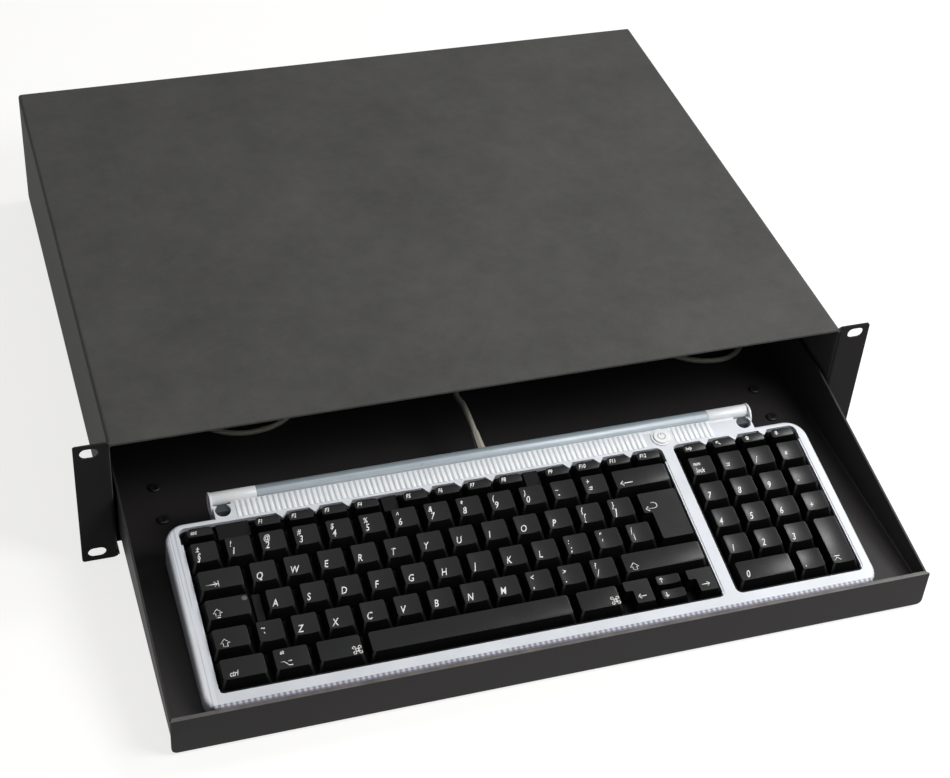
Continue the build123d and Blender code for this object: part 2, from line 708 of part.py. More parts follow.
def make_plates():
    """Stem plate with its collars, rubber mat, contact sheet and the two well linings."""
    left = MAIN_U[0] - WELL_GAP - WELL_WALL
    right = PAD_SPAN[1] + WELL_GAP + WELL_WALL
    front = KEYS_FRONT - WELL_GAP - WELL_WALL
    rear = KEYS_REAR + WELL_GAP + WELL_WALL
    plate = block((left, front, PLATE_UNDER), (right, rear, PLATE_TOP))
    collars = []
    holes = []
    for u, v, side in stem_places():
        bore = side / 2 + STEM_FIT
        wall = COLLAR_WALL if side == STEM else COLLAR_WALL_LOW
        collars.append(block((u - bore - wall, v - bore - wall, PLATE_TOP - PLATE_T / 2),
                             (u + bore + wall, v + bore + wall, COLLAR_TOP)))
        holes.append(block((u - bore, v - bore, PLATE_UNDER - 1), (u + bore, v + bore, COLLAR_TOP + 1)))
    plate = plate + collars
    plate = plate - holes
    caps_left = 1.5 * PITCH + KEY_GAP / 4
    caps_right = 1.75 * PITCH - KEY_GAP / 4
    plate += block((caps_left, row_v(2) - PITCH / 2 + KEY_GAP, PLATE_TOP - PLATE_T / 2),
                   (caps_right, row_v(2) + PITCH / 2 - KEY_GAP, FILLER_TOP))
    mat = block((left, front, MAT_UNDER), (right, rear, PLATE_UNDER))
    sheet = block((left, front, POCKET_FLOOR), (right, rear, MAT_UNDER))
    keep("key_plate", *on_keyboard(plate))
    keep("dome_mat", *on_keyboard(mat))
    keep("key_membrane", *on_keyboard(sheet))

    fillers = ((1.0, 2.0), (6.0, 6.5), (10.5, 11.0))
    for name, (w_left, w_right, w_front, w_rear) in zip(("main", "keypad"), wells()):
        well = (w_left, w_right, w_front, w_rear)
        lining = well_plan(well, WELL_WALL) - well_plan(well)
        wall = extrude(Pos(0, 0, PLATE_TOP) * lining, amount=WELL_TOP - PLATE_TOP)
        wall -= block((w_left - 2 * WELL_WALL, w_rear - PITCH / 2, WELL_REAR_TOP),
                      (w_right + 2 * WELL_WALL, w_rear + 2 * WELL_WALL, 0))
        if name == "main":
            for start, end in fillers:
                lead = start * PITCH + KEY_GAP / 2
                tail = end * PITCH - KEY_GAP / 2
                wall += block((lead, FUNCTION_V - PITCH / 4 + KEY_GAP / 2, PLATE_TOP),
                              (tail, w_rear + WELL_WALL / 2, FILLER_TOP))
        keep(f"well_frame_{name}", *on_keyboard(wall))


def case_outline(grow=0.0):
    """Rounded plan of the keyboard's main body."""
    width = OUTLINE_U[1] - OUTLINE_U[0] + 2 * grow
    depth = OUTLINE_V[1] - OUTLINE_V[0] + 2 * grow
    middle = (CASE_MID, (OUTLINE_V[0] + OUTLINE_V[1]) / 2)
    return Pos(*middle) * RectangleRounded(width, depth, RIM_CORNER)


def floor_w(v):
    """Level of the drawer floor under a place v, in the keyboard's own height w."""
    return -(KB_UP + v * sin(SLOPE)) / cos(SLOPE)


def under_w(v):
    """Level of the case's underside at a place v."""
    front = OUTLINE_V[0]
    return floor_w(front) + CASE_FRONT_UP / cos(SLOPE) - (v - front) * tan(radians(WEDGE))


def world_of(v, w):
    """Y and Z of a place on the keyboard."""
    return (KB_Y + v * cos(SLOPE) - w * sin(SLOPE), KB_Z + v * sin(SLOPE) + w * cos(SLOPE))


def tooth(u):
    """Clear wedge that reaches between two function keys."""
    rear = KEYS_REAR + WELL_GAP + WELL_WALL + 2 * FIT
    wedge = make_face(Polyline((u - TOOTH_HALF, rear), (u - TOOTH_TIP, rear - TOOTH_L),
                               (u + TOOTH_TIP, rear - TOOTH_L), (u + TOOTH_HALF, rear), close=True))
    return extrude(Pos(0, 0, RIM_TOP - TOOTH_DEPTH) * wedge, amount=TOOTH_DEPTH)


def make_top_frame():
    """Clear top frame: rounded rim, two wells with teeth between the top keys, and the rear strip."""
    high = RIM_TOP - PLATE_TOP
    frame = extrude(Pos(0, 0, PLATE_TOP) * case_outline(), amount=high)
    frame = fillet(frame.edges().group_by(Axis.Z)[-1], RIM_ROUND)
    frame += block((STRIP_U[0], OUTLINE_V[1] - RIM_ROUND - RIM_REAR / 4, PLATE_TOP),
                   (STRIP_U[1], STRIP_V, RIM_TOP))
    for well in wells():
        frame -= extrude(Pos(0, 0, PLATE_TOP) * well_plan(well, WELL_WALL + FIT), amount=-PLATE_TOP)
    boundaries = [3, 4, 5, 7.5, 8.5, 9.5, 12, 13, 14]
    frame += [tooth(unit * PITCH) for unit in boundaries]
    frame += [tooth(PAD_U + unit * PITCH) for unit in (1, 2, 3)]
    frame -= crosswise(TUBE_R + TUBE_FIT, TUBE_V, TUBE_W, STRIP_U[0] - 1, STRIP_U[1] + 1)
    for u in finger_notches():
        frame -= upright(FINGER_NOTCH_R, u, FINGER_NOTCH_V, PLATE_TOP - 1, 0)
    frame -= upright(RING_R + FIT, BUTTON_U, BUTTON_V, PLATE_TOP - 1, 0)
    for u in port_middles():
        frame -= port_block(u, FIT)
    keep("kb_top_frame", *on_keyboard(frame))


def finger_notches():
    """Middles of the round notches in front of the tube's ends."""
    return (STRIP_U[0] + FINGER_NOTCH_U, STRIP_U[1] - FINGER_NOTCH_U)


def port_middles():
    """Middles of the two sockets along u, each at an end of the strip."""
    inset = PORT_INSET + PORT_L / 2
    return (STRIP_U[0] + inset, STRIP_U[1] - inset)


PORT_V = CASE_REAR_V - FIT - PORT_W / 2
PORT_TOP = TUBE_W - PORT_DROP


def port_block(u, grow=0.0):
    """Outer block of a socket, with the given clearance round it."""
    half_l = PORT_L / 2 + grow
    half_w = PORT_W / 2 + grow
    return block((u - half_l, PORT_V - half_w, PORT_TOP - PORT_H - grow),
                 (u + half_l, PORT_V + half_w, PORT_TOP + grow))


def make_bottom_case():
    """Wedge-shaped bottom case with pockets for the plates, board, sockets, foot and screws."""
    plan = case_outline()
    plan += Pos((STRIP_U[0] + STRIP_U[1]) / 2, CASE_REAR_V / 2) * Rectangle(
        STRIP_U[1] - STRIP_U[0], CASE_REAR_V)
    deep = under_w(CASE_REAR_V) - 1
    case = extrude(Pos(0, 0, deep) * plan, amount=PLATE_TOP - deep)
    front = OUTLINE_V[0] - 1
    side_view = Polyline((front, PLATE_TOP), (front, under_w(front)),
                         (CASE_TAPER_V, under_w(CASE_TAPER_V)), (CASE_REAR_V, CASE_REAR_W),
                         (CASE_REAR_V, PLATE_TOP), close=True)
    case &= along_x(make_face(side_view), OUTLINE_U[0] - 1, OUTLINE_U[1] + 1)
    left = MAIN_U[0] - WELL_GAP - WELL_WALL - FIT
    right = PAD_SPAN[1] + WELL_GAP + WELL_WALL + FIT
    pocket_front = KEYS_FRONT - WELL_GAP - WELL_WALL - FIT
    pocket_rear = KEYS_REAR + WELL_GAP + WELL_WALL + FIT
    case -= block((left, pocket_front, POCKET_FLOOR), (right, pocket_rear, 0))
    case -= block(*board_box(FIT, PLATE_TOP + 1))
    for u in port_middles():
        case -= port_block(u, FIT)
    case -= foot_recess()
    for u, v in case_screw_places():
        case -= case_screw(u, v, HOLE_FIT)
    keep("kb_bottom_case", *on_keyboard(case))


def board_box(grow=0.0, top=None):
    """Corners of the controller board, or of the pocket it lies in."""
    v = CASE_REAR_V - FIT - BOARD_D / 2 - SHEET
    low = PLATE_TOP - BOARD_POCKET
    high = low + BOARD_T if top is None else top
    half = BOARD_L / 2 + grow
    return ((CASE_MID - half, v - BOARD_D / 2 - grow, low), (CASE_MID + half, v + BOARD_D / 2 + grow, high))


def case_screw_places():
    """Screws from below, three along the front and three along the back."""
    us = (CASE_MID - CASE_SCREW_SPAN, CASE_MID, CASE_MID + CASE_SCREW_SPAN)
    return [(u, v) for u in us for v in (KEYS_FRONT - RIM_FRONT / 2, CASE_SCREW_V)]


def case_screw(u, v, grow=0.0):
    """A screw sunk in the underside of the case, with its head level with a counterbore."""
    low = under_w(v) + CASE_SCREW_SINK
    end = PLATE_TOP - CASE_SCREW_SHORT
    shank = stud(CASE_SCREW_R + grow, u, v, low, end)
    head = stud(CASE_SCREW_HEAD_R + grow, u, v, low, low + CASE_SCREW_HEAD_H + grow)
    if grow:
        head += stud(CASE_SCREW_HEAD_R + grow, u, v, low - 4, low)
    return head + shank


def foot_pivot():
    """v and w of the foot's hinge line."""
    return (FOOT_V, under_w(FOOT_V) + FOOT_PIVOT_UP)


def foot_reach():
    """Length from the hinge line to the tip of the foot's pad."""
    return world_of(*foot_pivot())[1] - FLOOR_TOP - FOOT_FLOOR_GAP


def foot_recess():
    """Recess in the underside that the foot folds into, with bores for its pins."""
    v, w = foot_pivot()
    half = FOOT_HALF + FOOT_SIDE_GAP
    length = foot_reach() + FOOT_T
    depth = FOOT_T / 2 + 2 * FOOT_SIDE_GAP
    low = w - 2 * depth - FOOT_PIVOT_UP
    ahead = v - length
    behind = v + FOOT_T
    side_view = make_face(Polyline((ahead, low), (ahead, under_w(ahead) + FOOT_PIVOT_UP + depth),
                                   (behind, under_w(behind) + FOOT_PIVOT_UP + depth),
                                   (behind, low), close=True))
    recess = along_x(side_view, -half, half)
    pins = crosswise(FOOT_PIN_R + FOOT_PIN_FIT, v, w, -half - FOOT_PIN_L, half + FOOT_PIN_L)
    return Pos(CASE_MID, 0, 0) * (recess + pins)


def make_foot():
    """Fold-out foot, drawn standing on the drawer floor, and its rubber pad."""
    y, z = world_of(*foot_pivot())
    x = KB_U0_X + CASE_MID
    low = z - foot_reach()
    web = block((-FOOT_HALF, y - FOOT_T / 2, low + FOOT_PAD_T), (FOOT_HALF, y + FOOT_T / 2, z))
    barrel = crosswise(FOOT_T / 2, y, z, -FOOT_HALF, FOOT_HALF)
    pins = crosswise(FOOT_PIN_R, y, z, -FOOT_HALF - FOOT_PIN_L + HOLE_FIT,
                     FOOT_HALF + FOOT_PIN_L - HOLE_FIT)
    window = block((-FOOT_HALF / 2, y - FOOT_T, low + FOOT_PAD_T - 1),
                   (FOOT_HALF / 2, y + FOOT_T, z - FOOT_T))
    foot = web + barrel + pins - window
    pads = []
    for side in (-1, 1):
        middle = side * (FOOT_HALF - FOOT_PAD_L / 2 - FOOT_T)
        pads.append(block((middle - FOOT_PAD_L / 2, y - FOOT_T / 2, low),
                          (middle + FOOT_PAD_L / 2, y + FOOT_T / 2, low + FOOT_PAD_T)))
    keep("kb_rear_foot", Pos(x, 0, 0) * foot)
    keep("kb_foot_pads", *[Pos(x, 0, 0) * pad for pad in pads])


def make_small_keyboard_parts():
    """Tube, its ends, sockets, power button, board, screws and front pads."""
    inner_left = STRIP_U[0] + TUBE_CAP_L
    inner_right = STRIP_U[1] - TUBE_CAP_L
    tube = crosswise(TUBE_R, TUBE_V, TUBE_W, inner_left, inner_right)
    ring_space = upright(RING_R + FIT, BUTTON_U, BUTTON_V, PLATE_TOP - 1, 1)
    keep("rear_tube", *on_keyboard(tube - ring_space))
    spans = ((STRIP_U[0], inner_left), (inner_right, STRIP_U[1]))
    for name, (start, end), u in zip(("left", "right"), spans, port_middles()):
        cap = crosswise(TUBE_R, TUBE_V, TUBE_W, start, end)
        keep(f"tube_cap_{name}", *on_keyboard(cap - port_block(u, FIT)))
        port = port_block(u)
        mouth_side = -1 if name == "left" else 1
        mouth = block((-PORT_L / 2, -PORT_W / 2 + PORT_WALL, -PORT_H / 2 + PORT_WALL),
                      (PORT_L / 2, PORT_W / 2 - PORT_WALL, PORT_H / 2 - PORT_WALL))
        tongue = block((-PORT_L / 2, -PORT_W / 2 + 2 * PORT_WALL, 0),
                       (PORT_L / 2, PORT_W / 2 - 2 * PORT_WALL, PORT_TONGUE))
        socket = Pos(u + mouth_side * 2 * PORT_WALL, PORT_V, PORT_TOP - PORT_H / 2) * (mouth - tongue)
        keep(f"usb_port_{name}", *on_keyboard(port - socket))
    button = upright(BUTTON_R, BUTTON_U, BUTTON_V, BUTTON_TOP - BUTTON_H, BUTTON_TOP)
    button = chamfer(button.edges().group_by(Axis.Z)[-1], BUTTON_TRAVEL / 2)
    ring = upright(RING_R, BUTTON_U, BUTTON_V, PLATE_TOP, RING_TOP)
    ring -= upright(BUTTON_R + BUTTON_FIT, BUTTON_U, BUTTON_V, PLATE_TOP - 1, 0)
    keep("power_button", *on_keyboard(button))
    keep("power_ring", *on_keyboard(ring))
    keep("controller_board", *on_keyboard(block(*board_box())))
    keep("kb_case_screws", *on_keyboard(*[case_screw(u, v) for u, v in case_screw_places()]))
    pads = []
    for u in (OUTLINE_U[0] + FRONT_PAD_INSET, OUTLINE_U[1] - FRONT_PAD_INSET):
        y, z = world_of(OUTLINE_V[0] + 2 * FRONT_PAD_R, under_w(OUTLINE_V[0] + 2 * FRONT_PAD_R))
        pad = stud(FRONT_PAD_R, KB_U0_X + u, y, FLOOR_TOP, z + FRONT_PAD_R / 2)
        tilt_cut = KEYBOARD * along_x(under_half(), OUTLINE_U[0], OUTLINE_U[1])
        pads.append(pad & tilt_cut)
    keep("kb_front_pads", *pads)


def under_half():
    """Region below the underside near the case's front, as a side view."""
    front = OUTLINE_V[0]
    back = front + 6 * FRONT_PAD_R
    return make_face(Polyline((front - 5, under_w(front - 5)), (back, under_w(back)),
                              (back, under_w(back) - 20), (front - 5, under_w(front) - 20), close=True))


def cord_points():
    """The cord's route: out of the keyboard's back, down to the floor and round in two loose loops."""
    x = KB_U0_X + CASE_MID
    start = world_of(CASE_REAR_V + RELIEF_L, RELIEF_W)
    ahead = world_of(CASE_REAR_V + 2 * RELIEF_L, RELIEF_W)
    rest = FLOOR_TOP + CORD_D / 2 + CORD_LIFT
    held = FLOOR_TOP + PLUG_H / 2 + CORD_LIFT
    return [(x, *start), (x, *ahead), (x + 3, 56, -15), (x + 9, 79, rest),
            (x + 8, 108, rest), (-18, 134, rest), (-50, 135, rest), (-75, 117, rest),
            (-90, 92, rest), (-108, 69, rest), (-141, 67, rest), (-164, 89, rest),
            (-172, 122, rest), (-157, 154, rest), (-124, 172, rest), (-86, 178, rest),
            (-46, 168, rest), (-6, 171, rest), (34, 180, rest), (72, 172, rest),
            (103, 150, rest), (125, 121, rest), (141, 91, rest), (160, 69, rest),
            (190, 64, rest), (208, 85, rest), (209, 116, rest), (197, 143, rest),
            (180, 158, held), (160, 168, held)]


def cord_path(points):
    """Straight runs joined by the largest tangent arcs that they allow."""
    vectors = [Vector(*p) for p in points]
    radii = []
    for before, here, after in zip(vectors, vectors[1:], vectors[2:]):
        turn = radians((here - before).get_angle(after - here))
        run = min((here - before).length, (after - here).length)
        radii.append(0.45 * run / tan(turn / 2))
    print("cord radii", [round(r, 1) for r in radii])
    return FilletPolyline(*vectors, radius=radii)


def make_cord():
    """Strain relief, free cord, and the plug at its end."""
    lean = degrees(atan((RELIEF_R - RELIEF_TIP_R) / RELIEF_L))
    relief = extrude(RegularPolygon(RELIEF_R, FASTENER_SIDES), amount=RELIEF_L, taper=lean)
    relief = Pos(CASE_MID, CASE_REAR_V, RELIEF_W) * Rot(-90, 0, 0) * relief
    keep("cord_strain_relief", *on_keyboard(relief))
    points = cord_points()
    path = cord_path(points)
    first = Vector(*points[1]) - Vector(*points[0])
    section = Plane(origin=points[0], z_dir=first) * RegularPolygon(CORD_D / 2, CORD_SIDES)
    cord = sweep(section, path=path)
    print("cord length", round(path.length, 1), "volume", round(cord.volume, 1),
          "section by length", round(section.area * path.length, 1))
    keep("keyboard_cord", cord)
    make_plug(points)


def make_plug(points):
    """Moulded grip and metal shell at the cord's end, lying flat on the drawer floor."""
    tail = Vector(*points[-1])
    way = (tail - Vector(*points[-2])).normalized()
    seat = Plane(origin=tail, x_dir=Vector(0, 0, 1).cross(way), z_dir=way).location
    grip = seat * extrude(RectangleRounded(PLUG_W, PLUG_H, PLUG_ROUND), amount=PLUG_L)
    pocket = PLUG_L - PLUG_SEAT
    tube = Rectangle(PLUG_SHELL_W, PLUG_SHELL_H)
    bore = Rectangle(PLUG_SHELL_W - 2 * PLUG_SHELL_T, PLUG_SHELL_H - 2 * PLUG_SHELL_T)
    shell = extrude(tube - bore, amount=PLUG_SEAT + PLUG_SHELL_L)
    tongue_w = PLUG_SHELL_W - 2 * PLUG_SHELL_T - 2 * FIT
    tongue_h = PLUG_SHELL_H / 2 - PLUG_SHELL_T
    tongue = Pos(0, -tongue_h / 2) * Rectangle(tongue_w, tongue_h - 2 * FIT)
    grip -= seat * Pos(0, 0, pocket) * extrude(tube, amount=2 * PLUG_SEAT)
    grip += seat * Pos(0, 0, pocket) * extrude(tongue, amount=PLUG_SEAT + PLUG_SHELL_L - TONGUE_BACK)
    keep("cord_plug", grip)
    keep("cord_plug_shell", seat * Pos(0, 0, pocket) * shell)


if __name__ == "__main__":
    os.makedirs("parts", exist_ok=True)
    make_chassis()
    make_slides()
    make_drawer()
    make_keys()
    make_plates()
    make_top_frame()
    make_bottom_case()
    make_foot()
    make_small_keyboard_parts()
    make_cord()
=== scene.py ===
"""Looks of the rack keyboard drawer: finishes, keycaps with their lettering, ribs, cord and studio."""

import logging
from dataclasses import dataclass, field
from enum import Enum
from math import cos, pi, radians, sin
from typing import Callable, Iterable, Optional, Sequence

import bpy
from mathutils import Matrix, Vector


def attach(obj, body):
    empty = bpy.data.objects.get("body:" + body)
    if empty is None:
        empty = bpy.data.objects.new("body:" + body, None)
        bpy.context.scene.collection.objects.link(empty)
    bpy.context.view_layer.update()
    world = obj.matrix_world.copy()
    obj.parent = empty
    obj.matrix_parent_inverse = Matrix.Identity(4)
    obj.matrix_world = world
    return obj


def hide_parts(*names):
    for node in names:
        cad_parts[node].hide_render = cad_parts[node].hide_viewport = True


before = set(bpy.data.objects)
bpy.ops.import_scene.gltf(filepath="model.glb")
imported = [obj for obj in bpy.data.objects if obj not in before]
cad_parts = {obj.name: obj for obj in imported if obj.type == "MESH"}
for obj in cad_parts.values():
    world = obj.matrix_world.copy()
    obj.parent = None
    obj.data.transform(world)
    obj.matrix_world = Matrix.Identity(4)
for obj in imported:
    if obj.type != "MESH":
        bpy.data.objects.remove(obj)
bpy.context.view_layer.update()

log = logging.getLogger("drawer")
MM = 0.001
NEAR = 0.01  # how close two places are to count as one, in millimetres
Point = tuple[float, float, float]
Color = tuple[float, float, float]


# The keyboard's own sloping frame, in millimetres: u to the right, v to the back, w up


@dataclass(frozen=True)
class KeyboardFrame:
    """Place of the keyboard on the tray, as in the part's source."""

    slope: float = 9.67
    left: float = -189.2
    front: float = -151.2 + 99.65
    up: float = -30.1 + 28.7

    def matrix(self, unit: float = MM) -> Matrix:
        """Matrix from the keyboard's frame to metres in the drawer's frame.

        Args:
            unit: Length in metres of one unit on the keyboard.

        Returns:
            The matrix.
        """
        place = Matrix.Translation(Vector((self.left, self.front, self.up)) * MM)
        return place @ Matrix.Rotation(radians(self.slope), 4, "X") @ Matrix.Scale(unit, 4)

    def world(self, v: float, w: float) -> tuple[float, float]:
        """Y and Z in millimetres of a place on the keyboard.

        Args:
            v: Distance back from the number row.
            w: Height above the key tops.

        Returns:
            Y and Z in the drawer's frame.
        """
        turn = radians(self.slope)
        return self.front + v * cos(turn) - w * sin(turn), self.up + v * sin(turn) + w * cos(turn)


BOARD_FRAME = KeyboardFrame()


# Finishes


class Surface(Enum):
    """Kinds of surface that a finish can have."""

    POWDER = "powder coat"
    BRUSHED = "brushed metal"
    MOULDED = "moulded plastic"
    CLEAR = "clear plastic"
    RUBBER = "rubber"
    INK = "printed ink"


@dataclass
class Wiring:
    """Nodes and links of one material, or of the surroundings."""

    tree: bpy.types.NodeTree

    def node(self, kind: str, values: Optional[dict[str, object]] = None) -> bpy.types.Node:
        """Add a node and set its inputs.

        Args:
            kind: Type of the node.
            values: Values of its inputs, by name.

        Returns:
            The node.
        """
        made = self.tree.nodes.new(kind)
        for name, value in (values or {}).items():
            made.inputs[name].default_value = value
        return made

    def link(self, source: bpy.types.NodeSocket, target: bpy.types.NodeSocket) -> None:
        """Lead an output into an input."""
        self.tree.links.new(source, target)

    def places(self) -> bpy.types.NodeSocket:
        """Places in the drawer's frame, in metres."""
        return self.node("ShaderNodeTexCoord").outputs["Object"]

    def stretched(self, places: bpy.types.NodeSocket, stretch: Point) -> bpy.types.NodeSocket:
        """Places scaled along each axis, for a pattern that runs one way.

        Args:
            places: Where the pattern is read.
            stretch: How often it changes along each axis.

        Returns:
            The scaled places.
        """
        mapping = self.node("ShaderNodeMapping", {"Scale": stretch})
        self.link(places, mapping.inputs["Vector"])
        return mapping.outputs["Vector"]

    def board_places(self) -> bpy.types.NodeSocket:
        """Places along, behind and above the keyboard.

        Returns:
            The places, in metres.
        """
        back = BOARD_FRAME.matrix(1.0).inverted()
        turn = {"Rotation": back.to_euler(), "Location": back.translation}
        mapping = self.node("ShaderNodeMapping", turn)
        self.link(self.places(), mapping.inputs["Vector"])
        return mapping.outputs["Vector"]

    def axes(self, places: bpy.types.NodeSocket) -> list[bpy.types.NodeSocket]:
        """The three coordinates of a place, each on its own.

        Args:
            places: The places.

        Returns:
            Their X, Y and Z.
        """
        split = self.node("ShaderNodeSeparateXYZ")
        self.link(places, split.inputs["Vector"])
        return [split.outputs[axis] for axis in "XYZ"]

    def math(self, kind: str, first: bpy.types.NodeSocket,
             second: bpy.types.NodeSocket | float) -> bpy.types.NodeSocket:
        """One sum on two values.

        Args:
            kind: The sum.
            first: The first value.
            second: The second value, a socket or a number.

        Returns:
            The result.
        """
        node = self.node("ShaderNodeMath")
        node.operation = kind
        self.link(first, node.inputs[0])
        if isinstance(second, float):
            node.inputs[1].default_value = second
        else:
            self.link(second, node.inputs[1])
        return node.outputs["Value"]

    def streaks(self, places: bpy.types.NodeSocket, stretch: Point, least: float) -> bpy.types.NodeSocket:
        """Mask of fine streaks.

        Args:
            places: Where the mask is read.
            stretch: How often the streaks change along each axis.
            least: Level above which the noise counts as a streak.

        Returns:
            The mask.
        """
        noise = self.node("ShaderNodeTexNoise", {"Scale": 1.0})
        self.link(self.stretched(places, stretch), noise.inputs["Vector"])
        return self.math("GREATER_THAN", noise.outputs["Fac"], least)

    def layers(self, color: bpy.types.NodeSocket,
               coats: Sequence[tuple[bpy.types.NodeSocket, float, Color]]) -> bpy.types.NodeSocket:
        """Lay colours over another, each where its mask is on.

        Args:
            color: The colour below.
            coats: Mask, share that shows there and colour of each layer, the lowest first.

        Returns:
            The layered colour.
        """
        for mask, share, over in coats:
            mix = self.node("ShaderNodeMixRGB", {"Color2": (*over, 1.0)})
            self.link(self.math("MULTIPLY", mask, share), mix.inputs["Fac"])
            self.link(color, mix.inputs["Color1"])
            color = mix.outputs["Color"]
        return color


@dataclass(frozen=True)
class Finish:
    """One finish: its colour, gloss and fine relief."""

    name: str
    surface: Surface
    color: Color
    roughness: float
    metallic: float = 0.0
    grain: float = 1800.0
    grain_detail: float = 3.0
    relief: float = 0.10
    depth: float = 0.00006
    cloud: float = 9.0
    cloud_range: tuple[float, float] = (0.3, 0.7)
    spread: float = 0.12
    gloss_spread: float = 0.08
    least_roughness: float = 0.02
    coat: float = 0.0
    coat_roughness: float = 0.08
    clearness: float = 0.0
    ior: float = 1.5
    specular: float = 0.4
    stretch: Point = (1.0, 1.0, 1.0)
    speckle: float = 0.62
    octaves: float = 5.0

    def material(self) -> bpy.types.Material:
        """Build the node material of this finish.

        Returns:
            The material, made once for each finish.
        """
        known = bpy.data.materials.get(self.name)
        if known is not None:
            return known
        made = bpy.data.materials.new(self.name)
        made.use_nodes = True
        made.node_tree.nodes.clear()
        wiring = Wiring(made.node_tree)
        output = wiring.node("ShaderNodeOutputMaterial")
        shader = wiring.node("ShaderNodeBsdfPrincipled", {
            "Metallic": self.metallic, "IOR": self.ior, "Specular IOR Level": self.specular,
            "Coat Weight": self.coat, "Coat Roughness": self.coat_roughness,
            "Transmission Weight": self.clearness})
        wiring.link(shader.outputs["BSDF"], output.inputs["Surface"])
        self._tone(wiring, shader)
        self._grain(wiring, shader)
        return made

    def _tone(self, wiring: Wiring, shader: bpy.types.Node) -> None:
        """Cloudy variation of colour and gloss.

        Args:
            wiring: The material's wiring.
            shader: The principled shader.
        """
        cloud = wiring.node("ShaderNodeTexNoise", {
            "Scale": self.cloud, "Detail": self.octaves, "Roughness": self.speckle})
        wiring.link(wiring.stretched(wiring.places(), self.stretch), cloud.inputs["Vector"])
        ramp = wiring.node("ShaderNodeValToRGB")
        shares = (1 - self.spread, 1 + self.spread)
        for stop, position, share in zip(ramp.color_ramp.elements, self.cloud_range, shares):
            stop.position = position
            stop.color = (*(min(1.0, c * share) for c in self.color), 1.0)
        wiring.link(cloud.outputs["Fac"], ramp.inputs["Fac"])
        wiring.link(self._marks(wiring, ramp.outputs["Color"]), shader.inputs["Base Color"])
        gloss = wiring.node("ShaderNodeMapRange", {
            "To Min": max(self.least_roughness, self.roughness - self.gloss_spread),
            "To Max": min(1.0, self.roughness + self.gloss_spread)})
        wiring.link(cloud.outputs["Fac"], gloss.inputs["Value"])
        wiring.link(gloss.outputs["Result"], shader.inputs["Roughness"])

    def _marks(self, wiring: Wiring, color: bpy.types.NodeSocket) -> bpy.types.NodeSocket:
        """Colour with this finish's own marks; a plain finish has none.

        Args:
            wiring: The material's wiring.
            color: The clouded colour.

        Returns:
            The colour that the shader takes.
        """
        return color

    def _grain(self, wiring: Wiring, shader: bpy.types.Node) -> None:
        """Fine relief of the surface.

        Args:
            wiring: The material's wiring.
            shader: The principled shader.
        """
        grain = wiring.node("ShaderNodeTexNoise", {"Scale": self.grain, "Detail": self.grain_detail})
        bump = wiring.node("ShaderNodeBump", {"Strength": self.relief, "Distance": self.depth})
        wiring.link(wiring.stretched(wiring.places(), self.stretch), grain.inputs["Vector"])
        wiring.link(grain.outputs["Fac"], bump.inputs["Height"])
        wiring.link(bump.outputs["Normal"], shader.inputs["Normal"])

    def dress(self, piece: bpy.types.Object) -> None:
        """Give a piece this finish all over."""
        piece.data.materials.clear()
        piece.data.materials.append(self.material())


@dataclass(frozen=True)
class RimFinish(Finish):
    """Clear frame with ribs behind its front edge, a streaked left rim with painted light that is paler
    towards the front, and a painted shadow line along its front edge.
    """

    rib_pitch: float = 0.00316
    rib_level: float = 0.05
    front: float = -0.0935
    edge: float = -0.0952
    # front of the painted shadow line along the front edge
    left: float = -0.0030
    # how fast the painted light on the left rim fades towards the back
    light_fade: float = -9.0
    streak: Point = (620.0, 9.0, 60.0)
    streak_level: float = 0.54
    painted_light_share: float = 0.70
    streak_share: float = 0.45
    front_share: float = 0.40
    rib_share: float = 0.70
    edge_shadow_share: float = 0.75
    # dark colour of the ribs, and of the painted shadow line at the front edge
    ink: Color = (0.13, 0.10, 0.17)
    shade: Color = (0.30, 0.35, 0.40)
    # colour of the painted light on the left rim
    painted_light: Color = (0.93, 0.93, 0.97)

    def _marks(self, wiring: Wiring, color: bpy.types.NodeSocket) -> bpy.types.NodeSocket:
        """Ribs behind the front edge, streaks and painted light on the left rim, and a painted shadow line
        along the front edge.

        Args:
            wiring: The material's wiring.
            color: The clouded colour.

        Returns:
            The marked colour.
        """
        places = wiring.board_places()
        along, behind, _ = wiring.axes(places)
        turns = wiring.math("MULTIPLY", along, 2 * pi / self.rib_pitch)
        strokes = wiring.math("GREATER_THAN", wiring.math("SINE", turns, 0.0), self.rib_level)
        front = wiring.math("LESS_THAN", behind, self.front)
        # painted shadow: a dark line along the very front edge, for the shade in the gap before the drawer's
        # hem
        edge = wiring.math("LESS_THAN", behind, self.edge)
        beside = wiring.math("LESS_THAN", along, self.left)
        # painted light: the left rim grows paler towards the front
        painted_light_mask = wiring.math("MULTIPLY", beside, wiring.math("MULTIPLY", behind, self.light_fade))
        lines = wiring.math("MULTIPLY", wiring.streaks(places, self.streak, self.streak_level), beside)
        ribs = wiring.math("MULTIPLY", strokes, front)
        return wiring.layers(color, (
            (painted_light_mask, self.painted_light_share, self.painted_light), (lines, self.streak_share, self.shade),
            (front, self.front_share, self.shade), (ribs, self.rib_share, self.ink),
            (edge, self.edge_shadow_share, self.ink)))


@dataclass(frozen=True)
class TubeFinish(Finish):
    """Clear tube, darker grey-blue over its back half, with fine darker lines along its length."""

    band: float = 0.0372
    band_share: float = 0.80
    line: Point = (7.0, 900.0, 900.0)
    line_level: float = 0.53
    line_share: float = 0.25
    darker_tone: Color = (0.27, 0.34, 0.38)

    def _marks(self, wiring: Wiring, color: bpy.types.NodeSocket) -> bpy.types.NodeSocket:
        """The band and the lines.

        Args:
            wiring: The material's wiring.
            color: The clouded colour.

        Returns:
            The marked colour.
        """
        places = wiring.board_places()
        band = wiring.math("GREATER_THAN", wiring.axes(places)[1], self.band)
        lines = wiring.streaks(places, self.line, self.line_level)
        return wiring.layers(color, ((band, self.band_share, self.darker_tone),
                                     (lines, self.line_share, self.darker_tone)))


